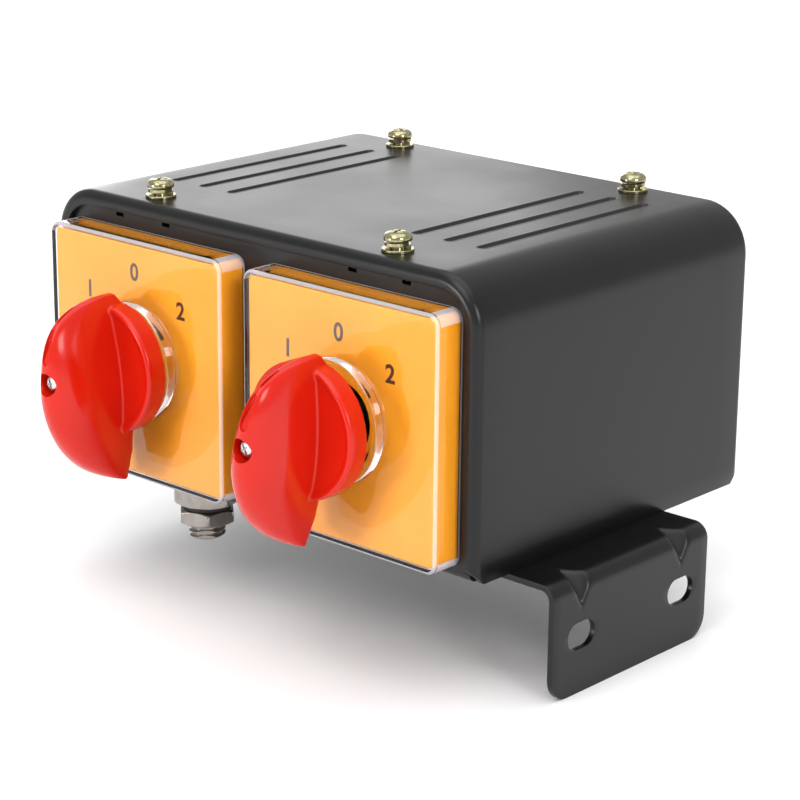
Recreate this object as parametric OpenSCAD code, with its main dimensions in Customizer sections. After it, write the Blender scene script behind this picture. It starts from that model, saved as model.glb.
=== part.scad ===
// Two rotary cam switches side by side in a folded steel box on a slotted side bracket.
// The origin is the middle of the two bracket slots, on the bracket's outer face.
// X runs to the right as seen from the front, Y runs front to back and Z is up.

/* [Box] */
// Width of the box across the front
box_w = 148; // [146:1:180]
// Height of the box
box_h = 75; // [72:1:100]
// Depth of the box from front lip to back lip
box_d = 108; // [90:1:150]
// Outer radius of the two round top corners
corner_r = 13; // [10:1:15]
// Thickness of all the sheet steel
sheet_t = 1.5; // [1.2:0.1:1.8]
// Outer radius of the sharp folds
fold_r = 2.5; // [2.2:0.1:3]
// Width of the lips folded in round the front and the back of the cover
lip_w = 4; // [3.7:0.1:4.3]
// Space between the edges of the chassis and the inside of the cover
chassis_gap = 1.2; // [0.9:0.1:1.4]
// Size of the mitre cut across the foot of each fold
mitre_l = 5.2; // [4.4:0.2:6]

/* [Ribs of the cover] */
// Number of pressed grooves in each group
rib_count = 3; // [1:1:4]
// Distance between neighbouring grooves
rib_pitch = 10.5; // [8:0.5:11]
// Distance of the middle of each group from the middle of the box
rib_group_x = 43; // [40:1:48]
// Distance from the front of the box to the grooves
rib_y = 25; // [20:1:30]
// Length of each groove
rib_l = 64; // [40:1:66]
// Radius of the groove's round section
rib_r = 1.6; // [1.3:0.1:2]
// Depth of the grooves
rib_depth = 0.6; // [0.3:0.1:0.8]

/* [Cover fixings] */
// Distance of each top screw from the middle of the box
top_screw_x = 41.5; // [38:0.5:46]
// Distance of each top screw from the front or the back of the box
top_screw_y = 8; // [7.5:0.5:10]
// Width of the tabs that the cover is screwed to
tab_w = 14.7; // [12:0.1:17]
// Length of those tabs
tab_l = 13; // [12:0.5:15]
// Width of the relief notches beside the tabs
notch_w = 2.8; // [2:0.1:3.4]
// Height of the relief notches
notch_h = 4; // [3.5:0.1:6]
// Height that the loose split washers keep under the heads
split_washer_h = 1.9; // [1.6:0.1:2.4]

/* [Screw sizes] */
// Radius of the larger screws, in the cover and the bracket
screw_r = 1.75; // [1.5:0.05:2.2]
// Radius of the smaller screws, in the switches
small_screw_r = 1.75; // [1.5:0.05:1.9]
// Radius of the screws that hold the knobs
knob_screw_r = 1.5; // [1.2:0.1:1.6]

/* [Bracket] */
// Distance from the box's side to the outer face of the bracket's leg
bracket_reach = 14; // [12:1:24]
// Length of the bracket's plate that lies under the box
bracket_under = 26; // [24:1:32]
// Width of the bracket
bracket_w = 62; // [56:1:66]
// Distance from the front of the box to the middle of the bracket
bracket_y = 44; // [42:1:50]
// Height of the leg below the box
leg_h = 30; // [26:1:40]
// Outer radius of the bracket's fold
bracket_fold_r = 4; // [3:0.5:5]
// Radius of the leg's lower corners
leg_corner_r = 6; // [3:1:8]
// Distance between the two slots
slot_pitch = 40; // [36:1:42]
// Height of the slots below the box
slot_drop = 15; // [15:0.5:17]
// Width of each slot
slot_w = 7; // [5:0.5:8]
// Length of each slot, end to end
slot_l = 10.5; // [9:0.5:13]
// Reach of the pressed stiffeners from the corner of the fold
stiffener_l = 5.5; // [5:0.5:9.5]
// Half width of the stiffeners at the corner
stiffener_half_w = 4; // [3:0.5:5]
// Distance of the bracket screws from the box's side, outer row
bracket_screw_x = 8; // [8:0.5:10]
// Distance between the two rows of bracket screws
bracket_screw_pitch = 11; // [9:0.5:12]

/* [Switch places] */
// Distance between the two switch axes
switch_pitch = 72; // [70:0.5:73]
// Height of the switch axes above the bottom of the box
switch_z = 35; // [34:0.5:38]

/* [Clear covers] */
// Side length of the clear square covers
clear_size = 64; // [60:1:65]
// Depth of the clear covers
clear_d = 8.8; // [8:0.1:11]
// Wall of the clear covers
clear_wall = 1.2; // [1:0.1:1.4]
// Corner radius of the clear covers
clear_corner_r = 3; // [2:0.5:4]
// Radius of the clear covers' front edges
clear_edge_r = 1; // [0.5:0.1:1.5]
// Outer radius of the round collar
collar_r = 15.5; // [14.5:0.1:16.5]
// Wall of the collar
collar_wall = 1.7; // [1.2:0.1:1.8]
// Height of the collar in front of the clear cover
collar_h = 2.7; // [1:0.1:3]

/* [Face plates] */
// Wall of the yellow face plates
plate_wall = 1.5; // [1.2:0.1:2]
// Radius of the face plate's front edges
plate_edge_r = 0.8; // [0.3:0.1:1.2]
// Radius of the middle hole
plate_hole_r = 9.5; // [9.2:0.1:9.8]
// Inner radius of the curved slots round the hole
arc_slot_r = 10.6; // [10.6:0.1:10.9]
// Width of the curved slots
arc_slot_w = 2; // [1:0.1:2.4]
// Angle that each curved slot spans
arc_slot_angle = 34; // [20:1:60]

/* [Knobs] */
// Radius of the knob's disc
disc_r = 17; // [16:0.5:18]
// Thickness of the disc
disc_t = 5.5; // [4.5:0.5:7]
// Radius of the disc's front edge
disc_edge_r = 1.2; // [0.5:0.1:1.5]
// Radius of the hub behind the disc
hub_r = 8.5; // [7:0.1:8.8]
// Length of the hub behind the disc
hub_l = 4.2; // [3:0.1:4.4]
// Reach of the blade's nose above the axis
blade_nose = 19.5; // [19:0.1:21]
// Reach of the blade's tail below the axis
blade_tail = 28.9; // [26:0.1:30]
// Height of the blade's spine in front of the disc's back
blade_h = 25.3; // [23:0.1:27]
// Largest half width of the blade
blade_half_w = 6.9; // [6:0.1:8]
// Half width of the blade at its nose
nose_half_w = 1.2; // [1:0.1:2.5]
// Half width of the blade at its tail
tail_half_w = 5.3; // [3:0.1:5.8]
// Height of the undercut behind the tail's tip
tail_undercut = 2.1; // [1:0.1:3.5]
// Height of the undercut behind the nose's tip
nose_undercut = 2.4; // [1:0.1:2.6]
// Radius of the recess for the knob screw
screw_recess_r = 3; // [2.8:0.1:3.4]
// Depth of the recess for the knob screw
screw_recess_depth = 3.6; // [2.5:0.1:4.5]
// Width of the pointer groove along the spine
pointer_w = 1.8; // [1:0.1:2.4]
// Depth of the pointer groove
pointer_depth = 0.7; // [0.3:0.1:1]
// Height above the axis at which the pointer groove starts
pointer_start = 4.6; // [4.2:0.1:6]
// Height above the axis at which the pointer groove ends
pointer_end = 16; // [12:0.5:16.5]
// Distance from the clear cover to the left knob's disc
left_knob_out = 4.7; // [4.6:0.1:7]
// Distance from the clear cover to the right knob's disc
right_knob_out = 7.3; // [4.6:0.1:9]
// Angle by which the right knob sits clockwise of upright on its shaft
right_knob_turn = 10; // [0:1:12]

/* [Switch bodies] */
// Side length of the switch bodies
body_size = 46; // [45:1:50]
// Depth of the detent housing
detent_d = 12; // [11:0.5:14]
// Thickness of the detent housing's front wall
detent_wall = 3; // [2.5:0.1:3.5]
// Number of contact decks in each switch
deck_count = 3; // [1:1:5]
// Depth of each contact deck
deck_d = 10; // [9.6:0.1:12]
// Thickness of each deck's floor
deck_floor = 1.5; // [1.2:0.1:1.8]
// Thickness of the end plate
end_plate_t = 4; // [3.5:0.5:6]
// Distance of the tie bolts from the axis, each way
tie_bolt_place = 19.4; // [19.4:0.1:20]
// Distance of the mounting screws from the axis, each way
mount_screw_place = 14; // [13.6:0.1:14.4]

/* [Rotor] */
// Radius of the shaft where it turns in the detent housing
journal_r = 5; // [4.7:0.1:5.3]
// Radius of the shaft where it turns in the end plate
tail_journal_r = 3.5; // [3:0.1:3.8]
// Side of the square that carries the star wheel and the cams
drive_square = 7; // [6.6:0.1:7.2]
// Side of the square that carries the knob
knob_square = 6; // [5:0.1:6.4]
// Largest radius of the star wheel
star_r = 12; // [11.5:0.1:12.4]
// Number of detent notches round the star wheel
star_notches = 8; // [8:4:8]
// Radius of each detent notch
star_notch_r = 3.4; // [3:0.1:3.6]
// Thickness of the star wheel
star_t = 5; // [4:0.1:5.4]
// Radius of the cams
cam_r = 11; // [10.5:0.1:11.2]
// Thickness of the cams
cam_t = 6; // [5:0.1:6.4]
// Depth of the cam notches
cam_notch_depth = 1.6; // [1:0.1:2]

/* [Contacts] */
// Width of the cam followers
follower_w = 6; // [5:0.1:6.4]
// Length of the cam followers
follower_l = 5; // [4.6:0.1:5.2]
// Length of the bridge contacts
bridge_l = 26; // [24:0.5:27]
// Thickness of the bridge contacts
bridge_t = 1.2; // [0.8:0.1:1.4]
// Gap between open contacts
contact_gap = 1.4; // [1:0.1:1.6]
// Distance of the terminals above and below the switch's middle
terminal_z = 11.5; // [11.3:0.1:11.8]
// Width of each terminal
terminal_w = 6.6; // [6:0.1:6.8]
// Thickness of the terminal's metal
terminal_t = 1.2; // [1:0.1:1.3]

/* [Gland] */
// Distance of the gland from the middle of the box, to the left
gland_x = 30; // [28:1:32]
// Distance of the gland from the front of the box
gland_y = 12; // [12:0.5:16]
// Size across the flats of the gland's body
gland_hex = 16; // [15:0.5:17]
// Height of the hexagon of the gland's body
gland_hex_h = 6.5; // [5:0.5:8]
// Size across the flats of the gland's nuts
gland_nut_hex = 14; // [13:0.5:15]
// Height of the nut on the outer thread
gland_nut_h = 4; // [3:0.5:5]
// Outer radius of the gland's thread
gland_thread_r = 5; // [4.7:0.1:5.3]
// Pitch of the gland's thread
gland_pitch = 1.4; // [1:0.1:1.5]
// Turns of thread that stand free of the nut
gland_turns = 3; // [2:1:4]
// Thickness of the gland's seal ring
gland_seal_t = 1.4; // [1:0.1:2]
// Radius of the hole for the cable
gland_bore_r = 3; // [2.5:0.1:3.2]
// Gap between the dome nut inside the box and the switch body above it
dome_nut_gap = 1.4; // [1:0.1:2.4]

/* [Hidden] */
$fn = 48;

// Overrun of every cut past the face that it leaves
over = 1;
// Gap between pieces that sit loosely side by side
seat_gap = 0.1;
// Gap between pieces that turn or slide past each other
turn_gap = 0.3;
// Radial clearance of a shaft in its bearing
bearing_gap = 0.05;
// Radial clearance of a screw in a plain hole, and in its own thread
hole_gap = 0.2;
thread_gap = 0.04;

// Places of the chassis inside the cover
panel_front = sheet_t;
panel_back = panel_front + sheet_t;
inner_top = box_h - sheet_t;
chassis_half_w = box_w / 2 - sheet_t - chassis_gap;
chassis_top = inner_top - chassis_gap;
chassis_corner_r = corner_r - sheet_t - chassis_gap;
floor_top = sheet_t;
rib_sink = rib_r - rib_depth;

// Sizes that follow the screws
head_ratio_share = 2;
head_h_share = 1.3;
nut_af_share = 3.5;
nut_h_share = 1.6;
head_r = screw_r * head_ratio_share;
head_h = screw_r * head_h_share;
nut_af = screw_r * nut_af_share;
nut_h = screw_r * nut_h_share;
small_head_r = small_screw_r * head_ratio_share;
small_head_h = small_screw_r * head_h_share;
washer_rim = 2.25;
washer_r = screw_r + washer_rim;
washer_t = 0.8;
split_rim = 1.5;
split_r = screw_r + split_rim;
split_t = 1;
split_steps = 28;
split_opening = 14;
cross_w = 0.9;
cross_reach_share = 0.55;
cross_floor_share = 0.55;
dome_drop = 0.5;

// Places of the bracket
bracket_top = 0;
leg_face_x = box_w / 2 + bracket_reach;
plate_start_x = box_w / 2 - bracket_under;
bracket_screw_start = box_w / 2 - bracket_screw_x;
bracket_screw_inset = 9;
bracket_screw_y = bracket_w / 2 - bracket_screw_inset;
stiffener_rib_share = 0.9;
stiffener_depth = sheet_t * stiffener_rib_share;
stiffener_box = 2 * stiffener_l;
stiffener_spread = sqrt(2);

// Depths of the switch's pieces along its axis
clear_front = panel_front - clear_d;
plate_front = clear_front + clear_wall + seat_gap;
plate_size = clear_size - 2 * clear_wall - 2 * seat_gap;
plate_corner_r = clear_corner_r - clear_wall;
arc_slot_middle = 54;
detent_back = panel_back + detent_d;
decks_back = detent_back + deck_count * deck_d;
end_plate_back = decks_back + end_plate_t;
tail_reach_share = 0.7;
tail_journal_l = end_plate_t * tail_reach_share;
tie_bolt_l = end_plate_back - panel_back - detent_wall - turn_gap;
shaft_bore_r = journal_r + hole_gap * 4;
body_corner_r = 2;

// Places inside the knob, measured from the back of its disc
blade_peak_share = 0.04;
blade_peak = -blade_tail * blade_peak_share;
blade_widest_share = 0.26;
blade_widest = -blade_tail * blade_widest_share;
nose_over = 0.1;
tail_over = 0.5;
nose_power_share = 3.2;
tail_power_share = 2;
width_power_share = 1.7;
blade_rings = 28;
blade_sides = 13;
blade_embed = 0.8;
ramp_inset = 0.5;
ramp_start = disc_r - ramp_inset;
waist_share = 0.8;
bulge_share = 0.62;
round_share = 0.55;
round_power_share = 2.2;
ring_mid = (blade_nose - blade_tail) / 2;
ring_half_l = (blade_nose + blade_tail) / 2;
pointer_steps = 12;
shaft_in_knob = 9;
knob_screw_depth = 5;
knob_hole_end = shaft_in_knob + turn_gap;
knob_head_ratio_share = 1.5;
knob_head_h_share = 1.2;
knob_screw_head_r = knob_screw_r * knob_head_ratio_share;
knob_screw_head_h = knob_screw_r * knob_head_h_share;

// Places inside the detent housing
star_front = panel_back + detent_wall + turn_gap;
star_room = 3;
detent_cavity_r = star_r + star_room;
detent_side_wall = 1.7;
detent_wall_x = body_size / 2 - detent_side_wall;
plunger_half_w = 3.5;
plunger_tip_x = star_r + turn_gap;
plunger_l = 6;
plunger_t = 4.4;
plunger_y = star_front + (star_t - plunger_t) / 2;
spring_wall = 0.7;
detent_spring_r = 2.1;

// Places inside a contact deck, measured from its front
cam_front = deck_floor + turn_gap;
cam_cavity_r = cam_r + 2 * turn_gap;
cam_mid = cam_front + cam_t / 2;
follower_x = cam_r + turn_gap;
bridge_x = follower_x + follower_l;
bridge_h = 3.6;
fixed_x = bridge_x - contact_gap - terminal_t;
spring_x = bridge_x + bridge_t;
contact_side_wall = 1.5;
contact_wall_x = body_size / 2 - contact_side_wall;
contact_spring_r = 2;
chamber_overlap = 1;
chamber_start_x = cam_r - chamber_overlap;
bridge_travel = 0.6;
chamber_end_x = bridge_x + bridge_t + bridge_travel;
chamber_half_h = terminal_z + terminal_w / 2 + seat_gap;
tip_reach = 3.4;
terminal_face_h = 6.6;
leg_offset = 2.3;
terminal_screw_l = 3.6;
terminal_slot_w = terminal_w + 2 * seat_gap;
cam_notch_angles = [45, 135, 225, 315];

// Places of the gland, measured from the bottom of the box
gland_floor_r = gland_thread_r + hole_gap;
gland_seal_low = -gland_hex_h - gland_seal_t;
gland_nut_low = gland_seal_low - gland_nut_h;
gland_end = gland_nut_low - gland_turns * gland_pitch;
gland_thread_depth = 0.6;
gland_flat_share = 0.86;
dome_wall = 1.1;
dome_nut_h = switch_z - body_size / 2 - dome_nut_gap - floor_top;
dome_taper = 4;
sleeve_l = 2;
sleeve_top = floor_top + dome_nut_h - dome_wall;
gland_inner_end = sleeve_top - sleeve_l;
gland_flat_turn = 222;
gland_nut_turn = 18;

function hex_corner_r(af) = af / 2 / cos(30);
function dome_edge_r(r) = (pow(r, 2) + pow(dome_drop, 2)) / (2 * dome_drop);

// Height of the knob's spine, and the half width of the blade, at a height y above the axis
function spine_l(y) = y > blade_peak ? blade_nose + nose_over - blade_peak : blade_tail + tail_over + blade_peak;
function spine_power(y) = y > blade_peak ? nose_power_share : tail_power_share;
function spine_h(y) = blade_h
    * pow(1 - pow(abs(y - blade_peak) / spine_l(y), spine_power(y)), 1 / spine_power(y));
function width_l(y) = y > blade_widest ? blade_nose - blade_widest : blade_tail + blade_widest;
function end_half_w(y) = y > blade_widest ? nose_half_w : tail_half_w;
function blade_width(y) = end_half_w(y) + (blade_half_w - end_half_w(y))
    * (1 - pow(min(1, abs(y - blade_widest) / width_l(y)), width_power_share));
function nose_ramp(y) = (y - ramp_start) / (blade_nose - ramp_start) * nose_undercut;
function tail_ramp(y) = (-y - ramp_start) / (blade_tail - ramp_start) * tail_undercut;
function blade_back(y) = max(blade_embed, nose_ramp(y), tail_ramp(y));
function blade_ring_y(i) = ring_mid - ring_half_l * cos(180 * i / blade_rings);
function waist(u) = waist_share + (1 - waist_share) * sin(90 * min(1, u / bulge_share));
function crown(u) = sqrt(1 - pow(max(0, (u - round_share) / (1 - round_share)), round_power_share));
function blade_point(y, side, u) = [
    side * blade_width(y) * waist(u) * crown(u),
    y,
    blade_back(y) + u * (spine_h(y) - blade_back(y))];
function blade_ring(y) = concat(
    [for (j = [0 : blade_sides]) blade_point(y, 1, sin(90 * j / blade_sides))],
    [for (j = [1 : blade_sides]) blade_point(y, -1, sin(90 * (blade_sides - j) / blade_sides))]);

// Moves a piece from the box's own corner of the world to the bracket's origin
module in_frame() {
    translate([-leg_face_x, -bracket_y, slot_drop]) children();
}

// Moves a piece to the axis of the left (-1) or right (1) switch
module at_switch(side) {
    in_frame() translate([side * switch_pitch / 2, 0, switch_z]) children();
}

// Turns a piece so that its z axis points out of the front, from depth y
module facing_front(y) {
    translate([0, y, 0]) rotate([90, 0, 0]) children();
}

// Extrudes a front view between depth y and y + d
module slab(y, d) {
    translate([0, y + d, 0]) rotate([90, 0, 0]) linear_extrude(d) children();
}

// Extrudes a side view, depth by height, between x and x + w
module across(x, w) {
    translate([x, 0, 0]) rotate([90, 0, 90]) linear_extrude(w) children();
}

// A rod along the depth, from y to y + l
module rod_y(r, y, l) {
    translate([0, y, 0]) rotate([-90, 0, 0]) cylinder(r = r, h = l);
}

// A rod to the right, from x to x + l
module rod_x(r, x, l) {
    translate([x, 0, 0]) rotate([0, 90, 0]) cylinder(r = r, h = l);
}

// A rectangle with round corners, about the origin
module round_rect(w, h, r) {
    square([w - 2 * r, h], center = true);
    square([w, h - 2 * r], center = true);
    for (sx = [-1, 1], sy = [-1, 1]) translate([sx * (w / 2 - r), sy * (h / 2 - r)]) circle(r);
}

// A slot with round ends, about the origin
module slot_shape(l, w) {
    square([l - w, w], center = true);
    for (s = [-1, 1]) translate([s * (l - w) / 2, 0]) circle(w / 2);
}

// Section of a sheet bent square: the outer faces meet at the origin, legs run along +x and +y
module bent_sheet(leg_x, leg_y, r) {
    translate([r, 0]) square([leg_x - r, sheet_t]);
    translate([0, r]) square([sheet_t, leg_y - r]);
    difference() {
        intersection() {
            translate([r, r]) circle(r);
            square(r);
        }
        translate([r, r]) circle(r - sheet_t);
    }
}

// A rounded box with a square front, round corners and round front edges, from depth y to y + d
module soft_front_box(size, d, y, side_r, edge_r) {
    intersection() {
        slab(y, d) round_rect(size, size, side_r);
        across(-size / 2, size) front_rounded(size, d, y, edge_r);
        rotate([0, 90, 0]) across(-size / 2, size) front_rounded(size, d, y, edge_r);
    }
}

module front_rounded(size, d, y, edge_r) {
    translate([y + edge_r, -size / 2]) square([d - edge_r, size]);
    translate([y, edge_r - size / 2]) square([d, size - 2 * edge_r]);
    for (s = [-1, 1]) translate([y + edge_r, s * (size / 2 - edge_r)]) circle(edge_r);
}

// A pan head with a cross, its seat at z = 0 and its crown up
module pan_head(r, h) {
    difference() {
        rotate_extrude() intersection() {
            square([r, h]);
            union() {
                square([r, h - dome_drop]);
                translate([0, h - dome_edge_r(r)]) circle(dome_edge_r(r));
            }
        }
        for (a = [0, 90]) rotate(a) translate([-r * cross_reach_share, -cross_w / 2, h * cross_floor_share])
            cube([2 * r * cross_reach_share, cross_w, h]);
    }
}

// Shank and head of a screw whose seat is at z = 0
module screw(r, l, big_r, big_h) {
    pan_head(big_r, big_h);
    translate([0, 0, -l]) cylinder(r = r, h = l);
}

module nut(af, h, hole_r) {
    difference() {
        cylinder(r = hex_corner_r(af), h = h, $fn = 6);
        translate([0, 0, -over]) cylinder(r = hole_r, h = h + 2 * over);
    }
}

// Hole for one of the larger screws through a sheet that starts at z = 0
module screw_hole() {
    translate([0, 0, -over]) cylinder(r = screw_r + hole_gap, h = sheet_t + 2 * over);
}

// Places of the four top screws
module at_top_screws() {
    for (sx = [-1, 1], y = [top_screw_y, box_d - top_screw_y]) translate([sx * top_screw_x, y, box_h])
        children();
}

// Places of the four screws through the bracket's plate
module at_bracket_screws() {
    for (i = [0, 1], sy = [-1, 1])
        translate([bracket_screw_start - i * bracket_screw_pitch, bracket_y + sy * bracket_screw_y, 0])
            children();
}

// Section of the cover's sheet: x = 0 is the outer face, the two lips point to -x
module cover_section() {
    mirror([1, 0]) bent_sheet(lip_w, box_d / 2 + over, fold_r);
    translate([0, box_d]) mirror([1, 0]) mirror([0, 1]) bent_sheet(lip_w, box_d / 2 + over, fold_r);
}

module cover_half() {
    translate([box_w / 2, 0, 0]) linear_extrude(box_h - corner_r) cover_section();
    translate([box_w / 2 - corner_r, box_d, box_h - corner_r]) rotate([90, 0, 0])
        rotate_extrude(angle = 90) translate([corner_r, 0]) cover_section();
    translate([box_w / 2 - corner_r, 0, box_h]) rotate([0, -90, 0])
        linear_extrude(box_w / 2 - corner_r) cover_section();
}

// Round rod along the depth with ball ends, for the grooves and their inner ridges
module rib_rod(r) {
    rod_y(r, 0, rib_l);
    for (y = [0, rib_l]) translate([0, y, 0]) sphere(r);
}

module at_ribs() {
    for (side = [-1, 1], i = [0 : rib_count - 1])
        translate([side * rib_group_x + (i - (rib_count - 1) / 2) * rib_pitch, rib_y, box_h + rib_sink])
            children();
}

module rib_ridges() {
    difference() {
        at_ribs() rib_rod(rib_r + sheet_t);
        translate([-box_w, -box_d, inner_top + sheet_t / 2]) cube([2 * box_w, 3 * box_d, box_h]);
    }
}

// Mitre cuts across the feet of the four folds
module mitre_cuts() {
    for (s = [-1, 1], y = [0, box_d]) translate([s * (box_w - lip_w) / 2, y, 0]) rotate([45, 0, 0])
        cube([lip_w + 2 * over, mitre_l, mitre_l], center = true);
}

module cover() {
    color("#1b1b1c") in_frame() difference() {
        union() {
            cover_half();
            mirror([1, 0, 0]) cover_half();
            rib_ridges();
        }
        at_ribs() rib_rod(rib_r);
        mitre_cuts();
        at_top_screws() translate([0, 0, -sheet_t]) screw_hole();
    }
}

// Outline of the chassis as seen from the front
module chassis_outline() {
    translate([-chassis_half_w, 0]) square([2 * chassis_half_w, chassis_top - chassis_corner_r]);
    translate([chassis_corner_r - chassis_half_w, 0])
        square([2 * (chassis_half_w - chassis_corner_r), chassis_top]);
    for (s = [-1, 1]) translate([s * (chassis_half_w - chassis_corner_r), chassis_top - chassis_corner_r])
        circle(chassis_corner_r);
}

// Floor with the front and back panels folded up from it
module chassis_tray() {
    intersection() {
        across(-chassis_half_w, 2 * chassis_half_w) {
            translate([panel_front, 0]) bent_sheet(box_d / 2 - panel_front + over, chassis_top, fold_r);
            translate([box_d - panel_front, 0]) mirror([1, 0])
                bent_sheet(box_d / 2 - panel_front + over, chassis_top, fold_r);
        }
        slab(-over, box_d + 2 * over) chassis_outline();
    }
}

// The four tabs folded back from the panels' top edges
module chassis_tabs() {
    for (sx = [-1, 1]) across(sx * top_screw_x - tab_w / 2, tab_w) {
        translate([panel_front, inner_top]) mirror([0, 1]) bent_sheet(tab_l, notch_h, fold_r);
        translate([box_d - panel_front, inner_top]) mirror([1, 0]) mirror([0, 1])
            bent_sheet(tab_l, notch_h, fold_r);
    }
}

// Clearances above and beside the tabs
module tab_notches() {
    for (sx = [-1, 1])
        translate([sx * top_screw_x - tab_w / 2 - notch_w, -over, inner_top - notch_h])
            cube([tab_w + 2 * notch_w, box_d + 2 * over, box_h]);
}

module chassis() {
    color("#1b1b1c") in_frame() difference() {
        union() {
            difference() {
                chassis_tray();
                tab_notches();
            }
            chassis_tabs();
        }
        at_top_screws() translate([0, 0, -2 * sheet_t]) screw_hole();
        at_bracket_screws() screw_hole();
        translate([-gland_x, gland_y, -over]) cylinder(r = gland_floor_r, h = sheet_t + 2 * over);
        for (side = [-1, 1]) translate([side * switch_pitch / 2, 0, switch_z]) {
            rod_y(shaft_bore_r, 0, panel_back + over);
            at_mount_screws() rod_y(small_screw_r + hole_gap, 0, panel_back + over);
        }
    }
}

module cover_nuts() {
    color("#c9b25a") in_frame() at_top_screws() translate([0, 0, -2 * sheet_t - nut_h])
        nut(nut_af, nut_h, screw_r + thread_gap);
}

module cover_screws() {
    color("#d8c878") in_frame() at_top_screws() translate([0, 0, washer_t + split_washer_h])
        screw(screw_r, washer_t + split_washer_h + 2 * sheet_t + nut_h, head_r, head_h);
}

module flat_washers() {
    color("#d8c878") in_frame() at_top_screws() difference() {
        cylinder(r = washer_r, h = washer_t);
        translate([0, 0, -over]) cylinder(r = screw_r + hole_gap, h = washer_t + 2 * over);
    }
}

// Four corners of a split washer's section, part way round its one turn
function split_corners(i) = let (a = split_opening / 2 + (360 - split_opening) * i / split_steps,
    z = (split_washer_h - split_t) * i / split_steps)
    [for (p = [[screw_r + hole_gap, 0], [split_r, 0], [split_r, split_t], [screw_r + hole_gap, split_t]])
        [p[0] * cos(a), p[0] * sin(a), z + p[1]]];
split_faces = concat(
    [for (i = [0 : split_steps - 1], j = [0 : 3], k = [0, 1]) k == 0
        ? [4 * i + j, 4 * i + (j + 1) % 4, 4 * (i + 1) + (j + 1) % 4]
        : [4 * i + j, 4 * (i + 1) + (j + 1) % 4, 4 * (i + 1) + j]],
    [[0, 3, 2], [0, 2, 1]],
    [[4 * split_steps, 4 * split_steps + 1, 4 * split_steps + 2],
        [4 * split_steps, 4 * split_steps + 2, 4 * split_steps + 3]]);

// One turn of square wire, its ends at different heights
module split_washers() {
    color("#c9b25a") in_frame() at_top_screws() translate([0, 0, washer_t])
        polyhedron([for (i = [0 : split_steps]) each split_corners(i)], split_faces);
}

// Front view of the leg with its two slots; x is the depth, y the height
module leg_outline() {
    difference() {
        translate([bracket_y, -leg_h]) {
            translate([-bracket_w / 2, leg_corner_r]) square([bracket_w, leg_h - leg_corner_r]);
            translate([leg_corner_r - bracket_w / 2, 0]) square([bracket_w - 2 * leg_corner_r, leg_h]);
            for (s = [-1, 1]) translate([s * (bracket_w / 2 - leg_corner_r), leg_corner_r])
                circle(leg_corner_r);
        }
        for (s = [-1, 1]) translate([bracket_y + s * slot_pitch / 2, -slot_drop])
            slot_shape(slot_l, slot_w);
    }
}

// Wedge whose lower edge runs slantwise from the plate to the leg, for one pressed stiffener
module stiffener_wedge(sink) {
    translate([leg_face_x - stiffener_l / 2 - sink, 0, -stiffener_l / 2 - sink]) rotate([0, -45, 0])
        translate([0, 0, -stiffener_l]) linear_extrude(2 * stiffener_l) polygon([
            [0, 0],
            [stiffener_l, stiffener_half_w * stiffener_spread],
            [stiffener_l, -stiffener_half_w * stiffener_spread]]);
}

// Box about the inner corner of the fold that bounds each stiffener's back
module stiffener_bounds() {
    translate([-stiffener_box - sheet_t / 2, -bracket_w / 2, -stiffener_box - sheet_t / 2])
        cube([stiffener_box, bracket_w, stiffener_box]);
}

module bracket() {
    color("#1b1b1c") in_frame() difference() {
        intersection() {
            union() {
                translate([0, bracket_y + bracket_w / 2, 0]) rotate([90, 0, 0]) linear_extrude(bracket_w)
                    translate([leg_face_x, bracket_top]) mirror([1, 0]) mirror([0, 1])
                        bent_sheet(bracket_reach + bracket_under, leg_h, bracket_fold_r);
                for (s = [-1, 1]) translate([0, bracket_y + s * slot_pitch / 2, 0]) intersection() {
                    stiffener_wedge(stiffener_depth);
                    translate([leg_face_x, 0, 0]) stiffener_bounds();
                }
            }
            across(plate_start_x, bracket_reach + bracket_under) leg_outline();
        }
        for (s = [-1, 1]) translate([0, bracket_y + s * slot_pitch / 2, 0]) stiffener_wedge(0);
        at_bracket_screws() translate([0, 0, -sheet_t]) screw_hole();
    }
}

module bracket_screws() {
    color("#d8c878") in_frame() at_bracket_screws() translate([0, 0, -sheet_t]) rotate([180, 0, 0])
        screw(screw_r, 2 * sheet_t + nut_h, head_r, head_h);
}

module bracket_nuts() {
    color("#c9b25a") in_frame() at_bracket_screws() translate([0, 0, floor_top])
        nut(nut_af, nut_h, screw_r + thread_gap);
}

module at_gland() {
    in_frame() translate([-gland_x, gland_y, 0]) children();
}

// Section of a thread between two heights, as grooves round a rod
module thread_grooves(low, turns) {
    for (i = [0 : turns - 1]) translate([0, 0, low + (i + 1 / 2) * gland_pitch]) rotate_extrude()
        polygon([[gland_thread_r + over, -gland_pitch * (1 / 2 + over / gland_thread_depth / 2)],
            [gland_thread_r + over, gland_pitch * (1 / 2 + over / gland_thread_depth / 2)],
            [gland_thread_r - gland_thread_depth, 0]]);
}

// Body: hexagon under the floor, threads up into the box and down to the free end
module gland_body() {
    color("#b9b3a6") at_gland() difference() {
        union() {
            translate([0, 0, -gland_hex_h]) intersection() {
                cylinder(r = hex_corner_r(gland_hex), h = gland_hex_h, $fn = 6);
                translate([0, 0, -gland_hex_h]) cylinder(r1 = hex_corner_r(gland_hex) + gland_hex_h,
                    r2 = gland_hex / 2 + over / 2, h = 2 * gland_hex_h);
            }
            translate([0, 0, gland_end]) cylinder(r = gland_thread_r, h = gland_inner_end - gland_end);
        }
        translate([0, 0, gland_end - over])
            cylinder(r = gland_bore_r, h = gland_inner_end - gland_end + 2 * over);
        thread_grooves(gland_end, gland_turns);
        rotate(gland_flat_turn)
            translate([-gland_thread_r, gland_thread_r * gland_flat_share, gland_end - over])
                cube([2 * gland_thread_r, gland_thread_r, gland_turns * gland_pitch + over]);
    }
}

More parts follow.
